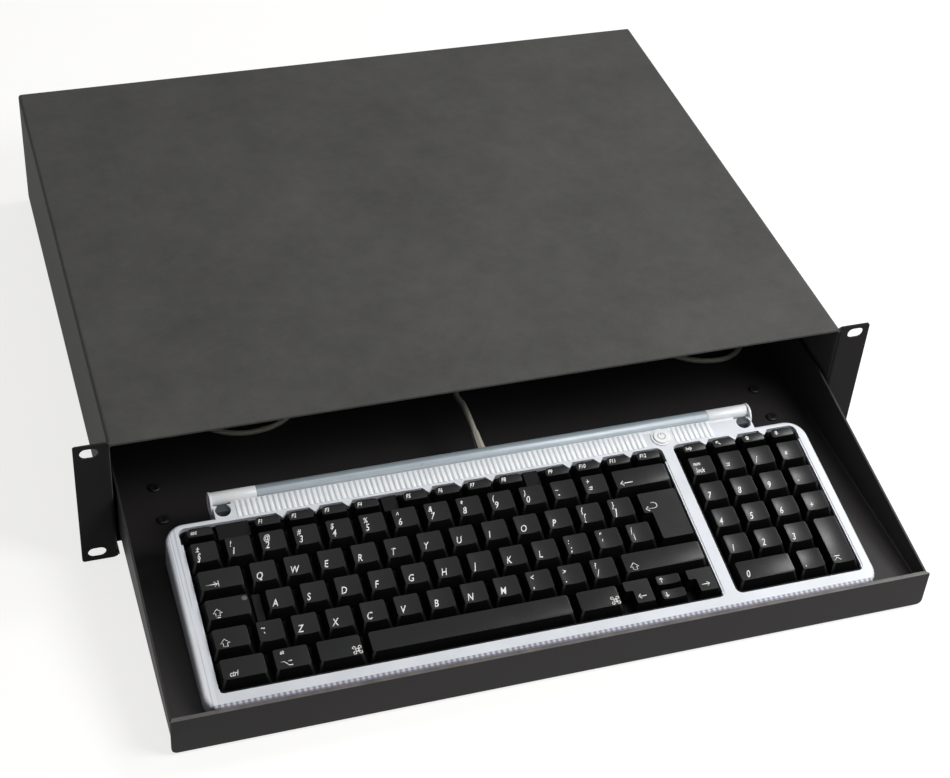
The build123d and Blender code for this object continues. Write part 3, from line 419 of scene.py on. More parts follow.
@dataclass(frozen=True)
class WellFinish(Finish):
    """Black well lining with light upper edges at the sides, where the clear frame shows."""

    left: float = -0.0002
    main_right: float = 0.2860
    pad_left: float = 0.2900
    pad_right: float = 0.3725
    low: float = -0.0062
    clear: Color = (0.70, 0.73, 0.775)

    def _marks(self, wiring: Wiring, color: bpy.types.NodeSocket) -> bpy.types.NodeSocket:
        """The light edges.

        Args:
            wiring: The material's wiring.
            color: The clouded colour.

        Returns:
            The marked colour.
        """
        along, _, above = wiring.axes(wiring.board_places())
        bridge = wiring.math("MULTIPLY", wiring.math("GREATER_THAN", along, self.main_right),
                             wiring.math("LESS_THAN", along, self.pad_left))
        outside = wiring.math("MAXIMUM", wiring.math("LESS_THAN", along, self.left),
                              wiring.math("GREATER_THAN", along, self.pad_right))
        high = wiring.math("GREATER_THAN", above, self.low)
        zone = wiring.math("MULTIPLY", wiring.math("MAXIMUM", bridge, outside), high)
        return wiring.layers(color, ((zone, 1.0, self.clear),))


@dataclass(frozen=True)
class CoverFinish(Finish):
    """Powder coat with painted shade on the fronts of the two rack ears, darker there than on the cover."""

    ear: float = 0.2215
    # colour of the painted shade on the fronts of the ears
    ear_shade_color: Color = (0.018, 0.0165, 0.017)

    def _marks(self, wiring: Wiring, color: bpy.types.NodeSocket) -> bpy.types.NodeSocket:
        """Painted shade on the fronts of the ears.

        Args:
            wiring: The material's wiring.
            color: The clouded colour.

        Returns:
            The marked colour.
        """
        across, back_way, _ = wiring.axes(wiring.places())
        outside = wiring.math("GREATER_THAN", wiring.math("ABSOLUTE", across, 0.0), self.ear)
        ahead = wiring.math("LESS_THAN", back_way, 0.0)
        # painted shade: the fronts of the ears take the darker colour in place of the shade that falls there
        return wiring.layers(color, ((wiring.math("MULTIPLY", outside, ahead), 1.0, self.ear_shade_color),))


CHASSIS = CoverFinish("chassis_powder_coat", Surface.POWDER, (0.0745, 0.0735, 0.0715), 0.68, specular=0.10,
                      grain=1500.0, relief=0.5, depth=0.00014, cloud=14.0, spread=0.24,
                      speckle=0.82, octaves=9.0)
DRAWER = Finish("drawer_powder_coat", Surface.POWDER, (0.024, 0.0215, 0.022), 0.56, specular=0.24,
                grain=1500.0, relief=0.35, depth=0.00012, cloud=8.0, spread=0.12)
# painted highlight: paler powder coat for the thin light line along the top of the drawer front's hem, where
# it catches the light
HEM_HIGHLIGHT = Finish("hem_painted_highlight", Surface.POWDER, (0.100, 0.094, 0.088), 0.48, specular=0.4,
             grain=1500.0, relief=0.3, depth=0.0001, cloud=60.0, spread=0.45)
ZINC = Finish("bright_zinc", Surface.BRUSHED, (0.58, 0.58, 0.55), 0.34, metallic=1.0,
              grain=2600.0, stretch=(1.0, 0.02, 1.0), relief=0.2, cloud=25.0, spread=0.1)
BALL = Finish("bearing_steel", Surface.BRUSHED, (0.70, 0.70, 0.71), 0.10, metallic=1.0,
              relief=0.02, gloss_spread=0.03)
RIVET = Finish("rivet_steel", Surface.BRUSHED, (0.42, 0.42, 0.41), 0.42, metallic=1.0, grain=4000.0)
BLACK_STEEL = Finish("blackened_steel", Surface.BRUSHED, (0.035, 0.035, 0.037), 0.42, metallic=0.6,
                     grain=5000.0, relief=0.15)
RUBBER = Finish("black_rubber", Surface.RUBBER, (0.025, 0.025, 0.026), 0.78, grain=5200.0, relief=0.3)
KEYCAP = Finish("keycap_plastic", Surface.MOULDED, (0.0075, 0.0078, 0.0078), 0.29, specular=0.22,
                grain=6500.0, relief=0.16, depth=0.00003, cloud=60.0, spread=0.09)
# painted shade: a darker, less glossy copy of the keycap plastic for the caps' steep walls, standing in for
# the shade on them
CAP_WALL_SHADE = Finish("keycap_wall_shade", Surface.MOULDED, (0.0030, 0.0031, 0.0032), 0.42, specular=0.02,
                  grain=6500.0, relief=0.16, depth=0.00003, cloud=60.0, spread=0.09)
INNER_BLACK = Finish("black_plastic", Surface.MOULDED, (0.0035, 0.0035, 0.0040), 0.62, specular=0.15,
                     grain=3200.0)
WELL = WellFinish("well_lining", Surface.MOULDED, (0.0035, 0.0035, 0.0040), 0.62, specular=0.15,
                  grain=3200.0)
CLEAR = RimFinish("clear_frame", Surface.CLEAR, (0.74, 0.77, 0.815), 0.32, grain=420.0, relief=0.05,
                  depth=0.0002, cloud=40.0, spread=0.06, coat=0.25, clearness=0.06, ior=1.49)
TUBE = TubeFinish("clear_tube", Surface.CLEAR, (0.55, 0.62, 0.67), 0.30, grain=300.0, relief=0.04,
                  depth=0.0002, cloud=30.0, spread=0.08, coat=0.2, clearness=0.10, ior=1.49)
FROSTED = Finish("frosted_case", Surface.CLEAR, (0.62, 0.66, 0.73), 0.36, grain=900.0, relief=0.2,
                 cloud=26.0, spread=0.14, clearness=0.10, ior=1.49)
RIB = Finish("rib_plastic", Surface.CLEAR, (0.90, 0.915, 0.93), 0.26, grain=900.0, relief=0.1,
             cloud=60.0, spread=0.05, coat=0.5, ior=1.49)
GROOVE = Finish("groove_shade", Surface.CLEAR, (0.58, 0.615, 0.66), 0.34, grain=900.0, relief=0.1,
                cloud=40.0, spread=0.12, ior=1.49)
LENS = Finish("lamp_lens", Surface.CLEAR, (0.13, 0.145, 0.14), 0.26, grain=900.0, relief=0.05,
              clearness=0.2, ior=1.49)
WHITE = Finish("white_plastic", Surface.MOULDED, (0.88, 0.88, 0.87), 0.30, grain=3600.0, relief=0.08,
               coat=0.4, spread=0.04)
PEARL = Finish("pearl_button", Surface.MOULDED, (0.86, 0.87, 0.87), 0.26, grain=3600.0, relief=0.05,
               coat=0.8, spread=0.05)
PORT = Finish("socket_plastic", Surface.MOULDED, (0.045, 0.055, 0.060), 0.42, grain=3200.0)
BOARD = Finish("board_laminate", Surface.MOULDED, (0.03, 0.16, 0.07), 0.42, grain=2400.0, spread=0.2)
FILM = Finish("contact_film", Surface.MOULDED, (0.32, 0.33, 0.31), 0.40, grain=900.0)
MAT = Finish("mat_rubber", Surface.RUBBER, (0.08, 0.08, 0.085), 0.70, grain=3000.0)
CORD_SKIN = Finish("cord_skin", Surface.MOULDED, (0.46, 0.44, 0.37), 0.42, grain=2600.0,
                   relief=0.12, cloud=18.0, spread=0.14)
PLUG_STEEL = Finish("plug_shell_steel", Surface.BRUSHED, (0.60, 0.60, 0.58), 0.30, metallic=1.0,
                    grain=3000.0, stretch=(0.05, 1.0, 1.0))
INK = Finish("legend_ink", Surface.INK, (0.80, 0.80, 0.77), 0.50, grain=6000.0, relief=0.1, spread=0.08)
GREY_INK = Finish("grey_mark", Surface.INK, (0.30, 0.31, 0.33), 0.50, grain=6000.0)

NODE_FINISH: dict[str, Finish] = {
    "chassis_shell": CHASSIS, "rear_panel": CHASSIS, "rear_panel_rivets": RIVET,
    "drawer_tray": DRAWER, "drawer_front": DRAWER,
    "slide_outer_left": ZINC, "slide_outer_right": ZINC, "slide_inner_left": ZINC,
    "slide_inner_right": ZINC, "slide_outer_rivets": RIVET, "slide_bumpers": RUBBER,
    "ball_cage_left": ZINC, "ball_cage_right": ZINC, "slide_balls_left": BALL,
    "slide_balls_right": BALL, "tray_screws": BLACK_STEEL, "kb_case_screws": BLACK_STEEL,
    "kb_top_frame": CLEAR, "rear_tube": TUBE, "power_button": PEARL, "power_ring": WHITE,
    "kb_bottom_case": FROSTED, "kb_rear_foot": FROSTED, "well_frame_main": WELL,
    "well_frame_keypad": WELL, "key_plate": INNER_BLACK, "dome_mat": MAT,
    "key_membrane": FILM, "controller_board": BOARD, "tube_cap_left": WHITE,
    "tube_cap_right": WHITE, "usb_port_left": PORT, "usb_port_right": PORT,
    "kb_front_pads": RUBBER, "kb_foot_pads": RUBBER, "cord_strain_relief": CORD_SKIN,
    "cord_plug": CORD_SKIN, "cord_plug_shell": PLUG_STEEL,
}


# Bench: modelling steps that every piece uses


class Bench:
    """Modelling by operators, one piece at a time, in millimetres."""

    @staticmethod
    def clear() -> None:
        """Deselect everything."""
        bpy.ops.object.select_all(action="DESELECT")

    @staticmethod
    def only(*pieces: bpy.types.Object) -> bpy.types.Object:
        """Select these pieces alone, the last one active.

        Args:
            pieces: The pieces to select.

        Returns:
            The active piece.
        """
        Bench.clear()
        for piece in pieces:
            piece.select_set(True)
        bpy.context.view_layer.objects.active = pieces[-1]
        return pieces[-1]

    @staticmethod
    def add(name: str, data: bpy.types.ID) -> bpy.types.Object:
        """Add an object to the scene.

        Args:
            name: Its name.
            data: What it holds.

        Returns:
            The new object.
        """
        made = bpy.data.objects.new(name, data)
        bpy.context.scene.collection.objects.link(made)
        return made

    @staticmethod
    def placed(name: str, size: Sequence[float] = (1.0, 1.0, 1.0)) -> bpy.types.Object:
        """Name and stretch the new primitive, and put its place in its mesh.

        Args:
            name: Name of the piece.
            size: How much it is stretched along each of its axes.

        Returns:
            The piece.
        """
        piece = bpy.context.active_object
        piece.name = name
        piece.scale = size
        bpy.ops.object.transform_apply(location=True, rotation=True, scale=True)
        return piece

    @staticmethod
    def cube(name: str, low: Sequence[float], high: Sequence[float]) -> bpy.types.Object:
        """A box between two corners.

        Args:
            name: Name of the piece.
            low: Lowest corner.
            high: Highest corner.

        Returns:
            The new piece.
        """
        Bench.clear()
        middle = [(a + b) / 2 for a, b in zip(low, high)]
        bpy.ops.mesh.primitive_cube_add(size=1.0, location=middle)
        return Bench.placed(name, [b - a for a, b in zip(low, high)])

    @staticmethod
    def cylinder(name: str, radius: float, depth: float, middle: Sequence[float], sides: int,
                 turn: Point = (0.0, 0.0, 0.0)) -> bpy.types.Object:
        """A round bar, upright unless it is turned.

        Args:
            name: Name of the piece.
            radius: Its radius.
            depth: Its length.
            middle: Its middle.
            sides: Faces around it.
            turn: Its turn about each axis.

        Returns:
            The new piece.
        """
        Bench.clear()
        bpy.ops.mesh.primitive_cylinder_add(vertices=sides, radius=radius, depth=depth,
                                            location=middle, rotation=turn)
        return Bench.placed(name)

    @staticmethod
    def pick(piece: bpy.types.Object, faces: Optional[Callable] = None,
             edges: Optional[Callable] = None, points: Optional[Callable] = None) -> None:
        """Go to edit mode with chosen faces, edges or points selected.

        Args:
            piece: The piece to edit.
            faces: Test for a face.
            edges: Test for an edge, given its two ends.
            points: Test for a point, given its place.
        """
        Bench.only(piece)
        mesh = piece.data
        bpy.ops.object.mode_set(mode="EDIT")
        bpy.ops.mesh.select_mode(type="FACE" if faces else "EDGE" if edges else "VERT")
        bpy.ops.mesh.select_all(action="DESELECT")
        bpy.ops.object.mode_set(mode="OBJECT")
        if faces:
            for face in mesh.polygons:
                face.select = bool(faces(face))
        if edges:
            for edge in mesh.edges:
                ends = [mesh.vertices[i].co for i in edge.vertices]
                edge.select = bool(edges(*ends))
        if points:
            for vertex in mesh.vertices:
                vertex.select = bool(points(vertex.co))
        bpy.ops.object.mode_set(mode="EDIT")

    @staticmethod
    def done() -> None:
        """Back to object mode."""
        bpy.ops.object.mode_set(mode="OBJECT")

    @staticmethod
    def extrude(move: Point) -> None:
        """Draw what is selected out along a move."""
        bpy.ops.mesh.extrude_region_move(TRANSFORM_OT_translate={"value": move})

    @staticmethod
    def face_out() -> None:
        """Turn every face of the piece in edit mode outwards."""
        bpy.ops.mesh.select_all(action="SELECT")
        bpy.ops.mesh.normals_make_consistent(inside=False)

    @staticmethod
    def round_points(sheet: bpy.types.Object, width: float, segments: int, chosen: Callable) -> None:
        """Round chosen corners of a flat sheet.

        Args:
            sheet: The sheet.
            width: How much is taken off each corner.
            segments: Edges around it.
            chosen: Test for a corner.
        """
        Bench.pick(sheet, points=chosen)
        bpy.ops.mesh.bevel(offset=width, segments=segments, affect="VERTICES")
        Bench.done()

    @staticmethod
    def apply_all(piece: bpy.types.Object) -> None:
        """Apply every modifier of a piece.

        Args:
            piece: The piece.
        """
        Bench.only(piece)
        for modifier in list(piece.modifiers):
            bpy.ops.object.modifier_apply(modifier=modifier.name)

    @staticmethod
    def bevel(piece: bpy.types.Object, width: float, segments: int = 3, angle: float = 30.0) -> None:
        """Round a piece's sharp edges.

        Args:
            piece: The piece.
            width: Width of the rounding.
            segments: Faces across it.
            angle: Least turn of an edge that is rounded, in degrees.
        """
        modifier = piece.modifiers.new("rounding", "BEVEL")
        modifier.width = width
        modifier.segments = segments
        modifier.limit_method = "ANGLE"
        modifier.angle_limit = radians(angle)
        modifier.harden_normals = False
        Bench.apply_all(piece)

    @staticmethod
    def thicken(piece: bpy.types.Object, wall: float, outward: bool = False, even: bool = False) -> None:
        """Give a sheet its thickness.

        Args:
            piece: The sheet.
            wall: The thickness.
            outward: Whether it grows out from the faces and not in.
            even: Whether corners keep the full thickness.
        """
        modifier = piece.modifiers.new("wall", "SOLIDIFY")
        modifier.thickness = wall
        modifier.offset = 1.0 if outward else -1.0
        modifier.use_even_offset = even
        Bench.apply_all(piece)

    @staticmethod
    def cut(piece: bpy.types.Object, cutter: bpy.types.Object) -> None:
        """Take a cutter's shape away from a piece, and delete the cutter.

        Args:
            piece: The piece.
            cutter: The shape that is taken away.
        """
        modifier = piece.modifiers.new("cut", "BOOLEAN")
        modifier.operation = "DIFFERENCE"
        modifier.solver = "EXACT"
        modifier.object = cutter
        Bench.apply_all(piece)
        Bench.remove(cutter)

    @staticmethod
    def smooth(piece: bpy.types.Object, angle: float = 35.0) -> None:
        """Shade a piece smooth except over sharp edges."""
        Bench.only(piece)
        bpy.ops.object.shade_smooth_by_angle(angle=radians(angle))

    @staticmethod
    def copy(piece: bpy.types.Object, shift: Sequence[float]) -> bpy.types.Object:
        """Copy a piece with its own mesh and move it.

        Args:
            piece: The piece to copy.
            shift: The move.

        Returns:
            The copy.
        """
        twin = piece.copy()
        twin.data = piece.data.copy()
        bpy.context.scene.collection.objects.link(twin)
        twin.location = Vector(piece.location) + Vector(shift)
        return twin

    @staticmethod
    def join(name: str, pieces: Sequence[bpy.types.Object]) -> bpy.types.Object:
        """Join pieces into one.

        Args:
            name: Name of the result.
            pieces: What is joined.

        Returns:
            The joined piece, with places in its mesh.
        """
        Bench.only(*pieces)
        bpy.ops.object.transform_apply(location=True, rotation=True, scale=True)
        if len(pieces) > 1:
            bpy.ops.object.join()
        piece = bpy.context.active_object
        piece.name = name
        return piece

    @staticmethod
    def settle(piece: bpy.types.Object, matrix: Matrix, body: str, finish: Finish,
               slot: Optional[str] = None, stands_for: Iterable[str] = ()) -> bpy.types.Object:
        """Put a finished piece in its place, dress it and tie it to its body.

        Args:
            piece: The piece, in millimetres.
            matrix: From its millimetres to metres in the drawer's frame.
            body: The body that it moves with.
            finish: Its finish.
            slot: The record's material slot; not used.
            stands_for: The solids that it replaces.

        Returns:
            The piece.
        """
        Bench.only(piece)
        piece.matrix_world = matrix @ piece.matrix_world
        bpy.ops.object.transform_apply(location=True, rotation=True, scale=True)
        finish.dress(piece)
        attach(piece, body)
        if stands_for:
            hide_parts(*stands_for)
        log.info("%s: %d faces on %s", piece.name, len(piece.data.polygons), body)
        return piece

    @staticmethod
    def dress_faces(piece: bpy.types.Object, finish: Finish, faces: Callable) -> None:
        """Give chosen faces of a dressed piece a second finish.

        Args:
            piece: The piece.
            finish: The second finish.
            faces: Test for a face.
        """
        piece.data.materials.append(finish.material())
        Bench.pick(piece, faces=faces)
        piece.active_material_index = 1
        bpy.ops.object.material_slot_assign()
        Bench.done()

    @staticmethod
    def remove(piece: bpy.types.Object) -> None:
        """Delete a template piece."""
        bpy.data.objects.remove(piece, do_unlink=True)


# Keycaps


class CapKind(Enum):
    """Kinds of plain keycap."""

    PLAIN = "plain"
    FUNCTION = "function"
    SPACE = "space"


@dataclass(frozen=True)
class CapForm:
    """Sizes that keycaps share, in millimetres."""

    pitch: float = 19.05
    gap: float = 0.85
    height: float = 6.5
    wall: float = 1.2
    side: float = 2.2
    front: float = 3.6
    rear: float = 2.2
    low: float = 1.5
    dish: float = 0.50
    rounding: float = 0.55
    corner: float = 1.7
    rear_corner: float = 3.6
    stem: float = 5.2
    stem_low: float = 3.0
    stem_end: float = -7.65
    space_stems: tuple[int, ...] = (-2, 0, 2)
    rim: float = 0.05
    low_below: float = 0.75
    wide_from: float = 1.1


@dataclass(frozen=True)
class Key:
    """One key: its middle, its size in key pitches and what is printed on it."""

    u: float
    v: float
    wide: float = 1.0
    deep: float = 1.0
    low: str = ""
    high: str = ""
    sign: str = ""
    size: float = 1.0


FORM = CapForm()
PAD_U = 296.1


def row_v(row: float) -> float:
    """Middle of a key row, where row 0 is the number row."""
    return -row * FORM.pitch


def run_of_keys(start: float, row: float, lows: Sequence[str], highs: Sequence[str]) -> list[Key]:
    """Equal keys beside each other.

    Args:
        start: Where the run starts, in key pitches.
        row: The row.
        lows: Lower signs.
        highs: Upper signs.

    Returns:
        The keys.
    """
    return [Key((start + i + 0.5) * FORM.pitch, row_v(row), low=low, high=high)
            for i, (low, high) in enumerate(zip(lows, highs))]


def blank(count: int) -> list[str]:
    """A list of empty signs."""
    return [""] * count


@dataclass
class KeyGroups:
    """All keys by the node that holds them."""

    function_v: float = 0.75 * FORM.pitch
    arrow_notch: float = 4.4
    arrow_columns: tuple[float, float] = (12.5, 14.5)

    def pad(self, column: int) -> float:
        """Middle of a keypad column."""
        return PAD_U + (column + 0.5) * FORM.pitch

    def pad_keys(self) -> list[Key]:
        """The keypad's square keys.

        Returns:
            The keys.
        """
        rows = (("lock", "=", "/", "*"), ("7", "8", "9", "-"), ("4", "5", "6", "+"), ("1", "2", "3"))
        keys = [Key(self.pad(column), row_v(row), low=low)
                for row, signs in enumerate(rows) for column, low in enumerate(signs)]
        keys[0] = Key(self.pad(0), row_v(0), low="lock", high="num", size=0.68)
        return keys + [Key(self.pad(2), row_v(4), low=".")]

    def function_keys(self) -> list[Key]:
        """The half-height keys above the number row.

        Returns:
            The keys.
        """
        units = [0.5, 2.5, 3.5, 4.5, 5.5, 7.0, 8.0, 9.0, 10.0, 11.5, 12.5, 13.5, 14.5]
        names = ["esc"] + [f"F{i}" for i in range(1, 13)]
        return [Key(u * FORM.pitch, self.function_v, 1.0, 0.5, name)
                for u, name in zip(units, names)]

    def groups(self) -> dict[str, list[Key]]:
        """Every key of a plain outline.

        Returns:
            The keys by node.
        """
        pitch = FORM.pitch
        numbers = run_of_keys(0, 0, list("§1234567890-="), list("±!@#$%^&*()_+"))
        upper = run_of_keys(1.5, 1, list("QWERTYUIOP[]"), blank(10) + ["{", "}"])
        home = run_of_keys(1.75, 2, list("ASDFGHJKL;'\\"), blank(9) + [":", "\"", "|"])
        lower = run_of_keys(1.25, 3, list("`ZXCVBNM,./"), ["~"] + blank(7) + ["<", ">", "?"])
        sides = [Key(0.75 * pitch, row_v(4), 1.5, 1.0, "ctrl", size=0.72),
                 Key(2.125 * pitch, row_v(4), 1.25, 1.0, "", "alt", "option", 0.6),
                 Key(3.5 * pitch, row_v(4), 1.5, 1.0, sign="loops"),
                 Key(11.25 * pitch, row_v(4), 1.5, 1.0, sign="loops")]
        small = [Key(13.5 * pitch, row_v(4) + pitch / 4, 1.0, 0.5, sign="up"),
                 Key(13.5 * pitch, row_v(4) - pitch / 4, 1.0, 0.5, sign="down")]
        navigation = [Key(self.pad(0), self.function_v, 1.0, 0.5, "help", size=0.8)]
        navigation += [Key(self.pad(i), self.function_v, 1.0, 0.5, sign=name)
                       for i, name in ((1, "home"), (2, "page_up"), (3, "page_down"))]
        return {
            "keys_function_row": self.function_keys(),
            "keys_number_row": numbers,
            "key_backspace": [Key(14 * pitch, row_v(0), 2.0, 1.0, sign="back")],
            "key_tab": [Key(0.75 * pitch, row_v(1), 1.5, 1.0, sign="tab")],
            "keys_upper_letters": upper,
            "key_caps_lock": [Key(0.75 * pitch, row_v(2), 1.5, 1.0, sign="lock")],
            "keys_home_letters": home,
            "key_shift_left": [Key(0.625 * pitch, row_v(3), 1.25, 1.0, sign="shift")],
            "keys_lower_letters": lower,
            "key_shift_right": [Key(13.625 * pitch, row_v(3), 2.75, 1.0, sign="shift")],
            "keys_modifiers": sides,
            "key_space": [Key(7.375 * pitch, row_v(4), 6.25, 1.0)],
            "keys_arrows": small,
            "keys_pad_navigation": navigation,
            "keys_pad_numbers": self.pad_keys(),
            "key_pad_zero": [Key(PAD_U + pitch, row_v(4), 2.0, 1.0, "0")],
            "key_pad_enter": [Key(self.pad(3), row_v(3.5), 1.0, 2.0, sign="enter")],
        }


@dataclass
class Keycaps:
    """Hollow, dished keycaps with rounded edges, one piece for each node of keys."""

    form: CapForm = FORM
    return_left: float = 13.5
    return_step: float = 13.75
    return_stem: float = 14.375
    return_right: float = 15.0
    arrow_step: float = 0.4
    arrow_lean: float = 1.6
    scoop_side: float = 1.3
    corner_steps: int = 3
    edge_angle: float = 28.0
    crease: float = 32.0
    stepped_crease: float = 12.0
    stem_edge: float = 0.3
    first_lift: float = 0.001
    flat_angle: float = 0.01
    templates: dict[tuple, bpy.types.Object] = field(default_factory=dict)

    def outline(self, name: str, width: float, depth: float) -> bpy.types.Object:
        """A flat sheet of the cap's base.

        Args:
            name: Name of the piece.
            width: Size along u.
            depth: Size along v.

        Returns:
            The sheet, one cap's height below the key tops.
        """
        Bench.clear()
        bpy.ops.mesh.primitive_plane_add(size=1.0, location=(0.0, 0.0, -self.form.height))
        return Bench.placed(name, (width, depth, 1.0))

    def raise_cap(self, sheet: bpy.types.Object, width: float, depth: float, low: bool) -> None:
        """Raise the tapered walls of a plain cap from its base sheet to the top.

        Args:
            sheet: The base sheet.
            width: Size of the base along u.
            depth: Size of the base along v.
            low: Whether the key has half the height of others.
        """
        form = self.form
        front, rear = (form.low, form.low) if low else (form.front, form.rear)
        Bench.pick(sheet, faces=lambda face: True)
        Bench.extrude((0.0, 0.0, form.height))
        Bench.done()
        Bench.pick(sheet, faces=lambda face: face.center.z > -NEAR)
        bpy.ops.transform.resize(center_override=(0.0, 0.0, 0.0), value=(
            (width - 2 * form.side) / width, (depth - front - rear) / depth, 1.0))
        bpy.ops.transform.translate(value=(0.0, (front - rear) / 2, 0.0))
        Bench.face_out()
        Bench.done()

    def scoop(self, cap: bpy.types.Object, width: float, reach: float) -> None:
        """Hollow the top along v with a shallow round cut.

        Args:
            cap: The cap.
            width: Width of the top.
            reach: Length of the cut along v.
        """
        dish = self.form.dish
        radius = width * width / (8 * dish)
        cutter = Bench.cylinder("scoop", radius, reach, (0.0, 0.0, radius - dish),
                                int(2 * pi * radius / self.scoop_side), (pi / 2, 0.0, 0.0))
        Bench.cut(cap, cutter)

    def hollow(self, cap: bpy.types.Object) -> None:
        """Open the underside, give the walls their thickness and level their lower rim.

        Args:
            cap: The cap.
        """
        base = -self.form.height
        Bench.pick(cap, faces=lambda face: abs(face.center.z - base) < NEAR)
        bpy.ops.mesh.delete(type="ONLY_FACE")
        Bench.done()
        Bench.thicken(cap, self.form.wall)
        Bench.pick(cap, edges=lambda a, b: max(a.z, b.z) < base + self.form.rim)
        bpy.ops.transform.resize(value=(1.0, 1.0, 0.0), center_override=(0.0, 0.0, base))
        Bench.done()

    def finish_cap(self, cap: bpy.types.Object, stems: Sequence[tuple[float, float]], side: float,
                   crease: float) -> bpy.types.Object:
        """Hollow and round a raised cap, and give it its stems.

        Args:
            cap: The raised cap.
            stems: Middles of the stems.
            side: Size of their square.
            crease: Angle above which an edge stays sharp.

        Returns:
            The finished cap.
        """
        form = self.form
        self.hollow(cap)
        Bench.bevel(cap, form.rounding, angle=self.edge_angle)
        parts = []
        for index, (u, v) in enumerate(stems):
            stem = Bench.cube(f"stem_{index}", (u - side / 2, v - side / 2, form.stem_end),
                              (u + side / 2, v + side / 2, -form.wall - form.dish))
            Bench.bevel(stem, self.stem_edge, 1)
            parts.append(stem)
        made = Bench.join(cap.name, parts + [cap])
        Bench.smooth(made, crease)
        return made

    def template(self, wide: float, deep: float, kind: CapKind) -> bpy.types.Object:
        """A finished cap at the origin, made once for each size.

        Args:
            wide: Width in key pitches.
            deep: Depth in key pitches.
            kind: Its kind.

        Returns:
            The template.
        """
        form = self.form
        if (wide, deep, kind) in self.templates:
            return self.templates[(wide, deep, kind)]
        width = wide * form.pitch - form.gap
        depth = deep * form.pitch - form.gap
        low = deep < form.low_below
        cap = self.outline(f"cap_{wide}_{deep}_{kind.value}", width, depth)
        if kind is CapKind.FUNCTION:
            Bench.round_points(cap, form.rear_corner, self.corner_steps, lambda p: p.y > 0)
            Bench.round_points(cap, form.corner, self.corner_steps, lambda p: p.y < 0)
        else:
            Bench.round_points(cap, form.corner, self.corner_steps, lambda p: True)
        self.raise_cap(cap, width, depth, low)
        if kind is CapKind.PLAIN and wide < form.wide_from:
            self.scoop(cap, width - 2 * form.side, 2 * depth)
        shifts = form.space_stems if kind is CapKind.SPACE else (0,)
        side = form.stem_low if low else form.stem
        made = self.finish_cap(cap, [(shift * form.pitch, 0.0) for shift in shifts], side, self.crease)
        self.templates[(wide, deep, kind)] = made
        return made

    def stepped(self, name: str, low: tuple[float, float], high: tuple[float, float],
                notch: tuple[float, float]) -> bpy.types.Object:
        """Base sheet of a cap whose front left corner is stepped back.

        Args:
            name: Name of the piece.
            low: Its front left corner, before the step.
            high: Its rear right corner.
            notch: The inner corner of the step.

        Returns:
            The sheet, in its place.
        """
        sheet = self.outline(name, high[0] - low[0], high[1] - low[1])
        sheet.location = ((low[0] + high[0]) / 2, (low[1] + high[1]) / 2, 0.0)
        Bench.only(sheet)
        bpy.ops.object.transform_apply(location=True)
        for place, normal in (((notch[0], 0.0, 0.0), (1.0, 0.0, 0.0)),
                              ((0.0, notch[1], 0.0), (0.0, 1.0, 0.0))):
            Bench.pick(sheet, faces=lambda face: True)
            bpy.ops.mesh.bisect(plane_co=place, plane_no=normal)
            Bench.done()
        Bench.pick(sheet, faces=lambda face: face.center.x < notch[0] and face.center.y < notch[1])
        bpy.ops.mesh.delete(type="FACE")
        bpy.ops.mesh.select_all(action="SELECT")
        bpy.ops.mesh.dissolve_limited(angle_limit=self.flat_angle)
        Bench.done()
        return sheet

    def lean(self, sheet: bpy.types.Object, reach: float) -> None:
        """Raise a stepped sheet with walls that lean in evenly, and round their upright edges.

        Args:
            sheet: The base sheet.
            reach: How far the walls lean in.
        """
        form = self.form
        Bench.pick(sheet, faces=lambda face: True)
        Bench.extrude((0.0, 0.0, self.first_lift))
        bpy.ops.mesh.inset(thickness=reach, depth=0.0, use_even_offset=True)
        bpy.ops.transform.translate(value=(0.0, (form.front - form.rear) / 4, form.height - self.first_lift))
        bpy.ops.mesh.select_all(action="SELECT")
        bpy.ops.mesh.remove_doubles(threshold=NEAR)
        Bench.face_out()
        Bench.done()
        Bench.pick(sheet, edges=lambda a, b: abs(a.z - b.z) > form.height / 2)
        bpy.ops.mesh.bevel(offset=form.corner / 2, segments=self.corner_steps, affect="EDGES")
        Bench.done()

    def return_cap(self) -> bpy.types.Object:
        """The two-row return key, wider in its upper row.

        Returns:
            The finished cap.
        """
        form = self.form
        half_gap = form.gap / 2
        low = (self.return_left * form.pitch + half_gap, row_v(2.5) + half_gap)
        high = (self.return_right * form.pitch - half_gap, row_v(0.5) - half_gap)
        notch = (self.return_step * form.pitch + half_gap, row_v(1.5) + half_gap)
        cap = self.stepped("cap_return", low, high, notch)
        self.lean(cap, form.side)
        stem = (self.return_stem * form.pitch, row_v(1.5))
        return self.finish_cap(cap, [stem], form.stem, self.stepped_crease)

    def arrow_cap(self, column: float, notch: float) -> bpy.types.Object:
        """A left or right arrow key.

        Args:
            column: Middle of its cell, in key pitches.
            notch: Width of its step.

        Returns:
            The finished cap.
        """
        form = self.form
        half = (form.pitch - form.gap) / 2
        u, v = column * form.pitch, row_v(4)
        cap = self.stepped(f"cap_arrow_{round(u)}", (u - half, v - half), (u + half, v + half),
                           (u - half + notch, v - self.arrow_step))
        self.lean(cap, self.arrow_lean)
        return self.finish_cap(cap, [(u + notch / 2, v)], form.stem_low, self.stepped_crease)

    def kind_of(self, node: str, key: Key) -> CapKind:
        """Kind of template that a key takes.

        Args:
            node: The key's node.
            key: The key.

        Returns:
            The kind.
        """
        if node == "key_space":
            return CapKind.SPACE
        return CapKind.FUNCTION if key.v > self.form.pitch / 2 else CapKind.PLAIN

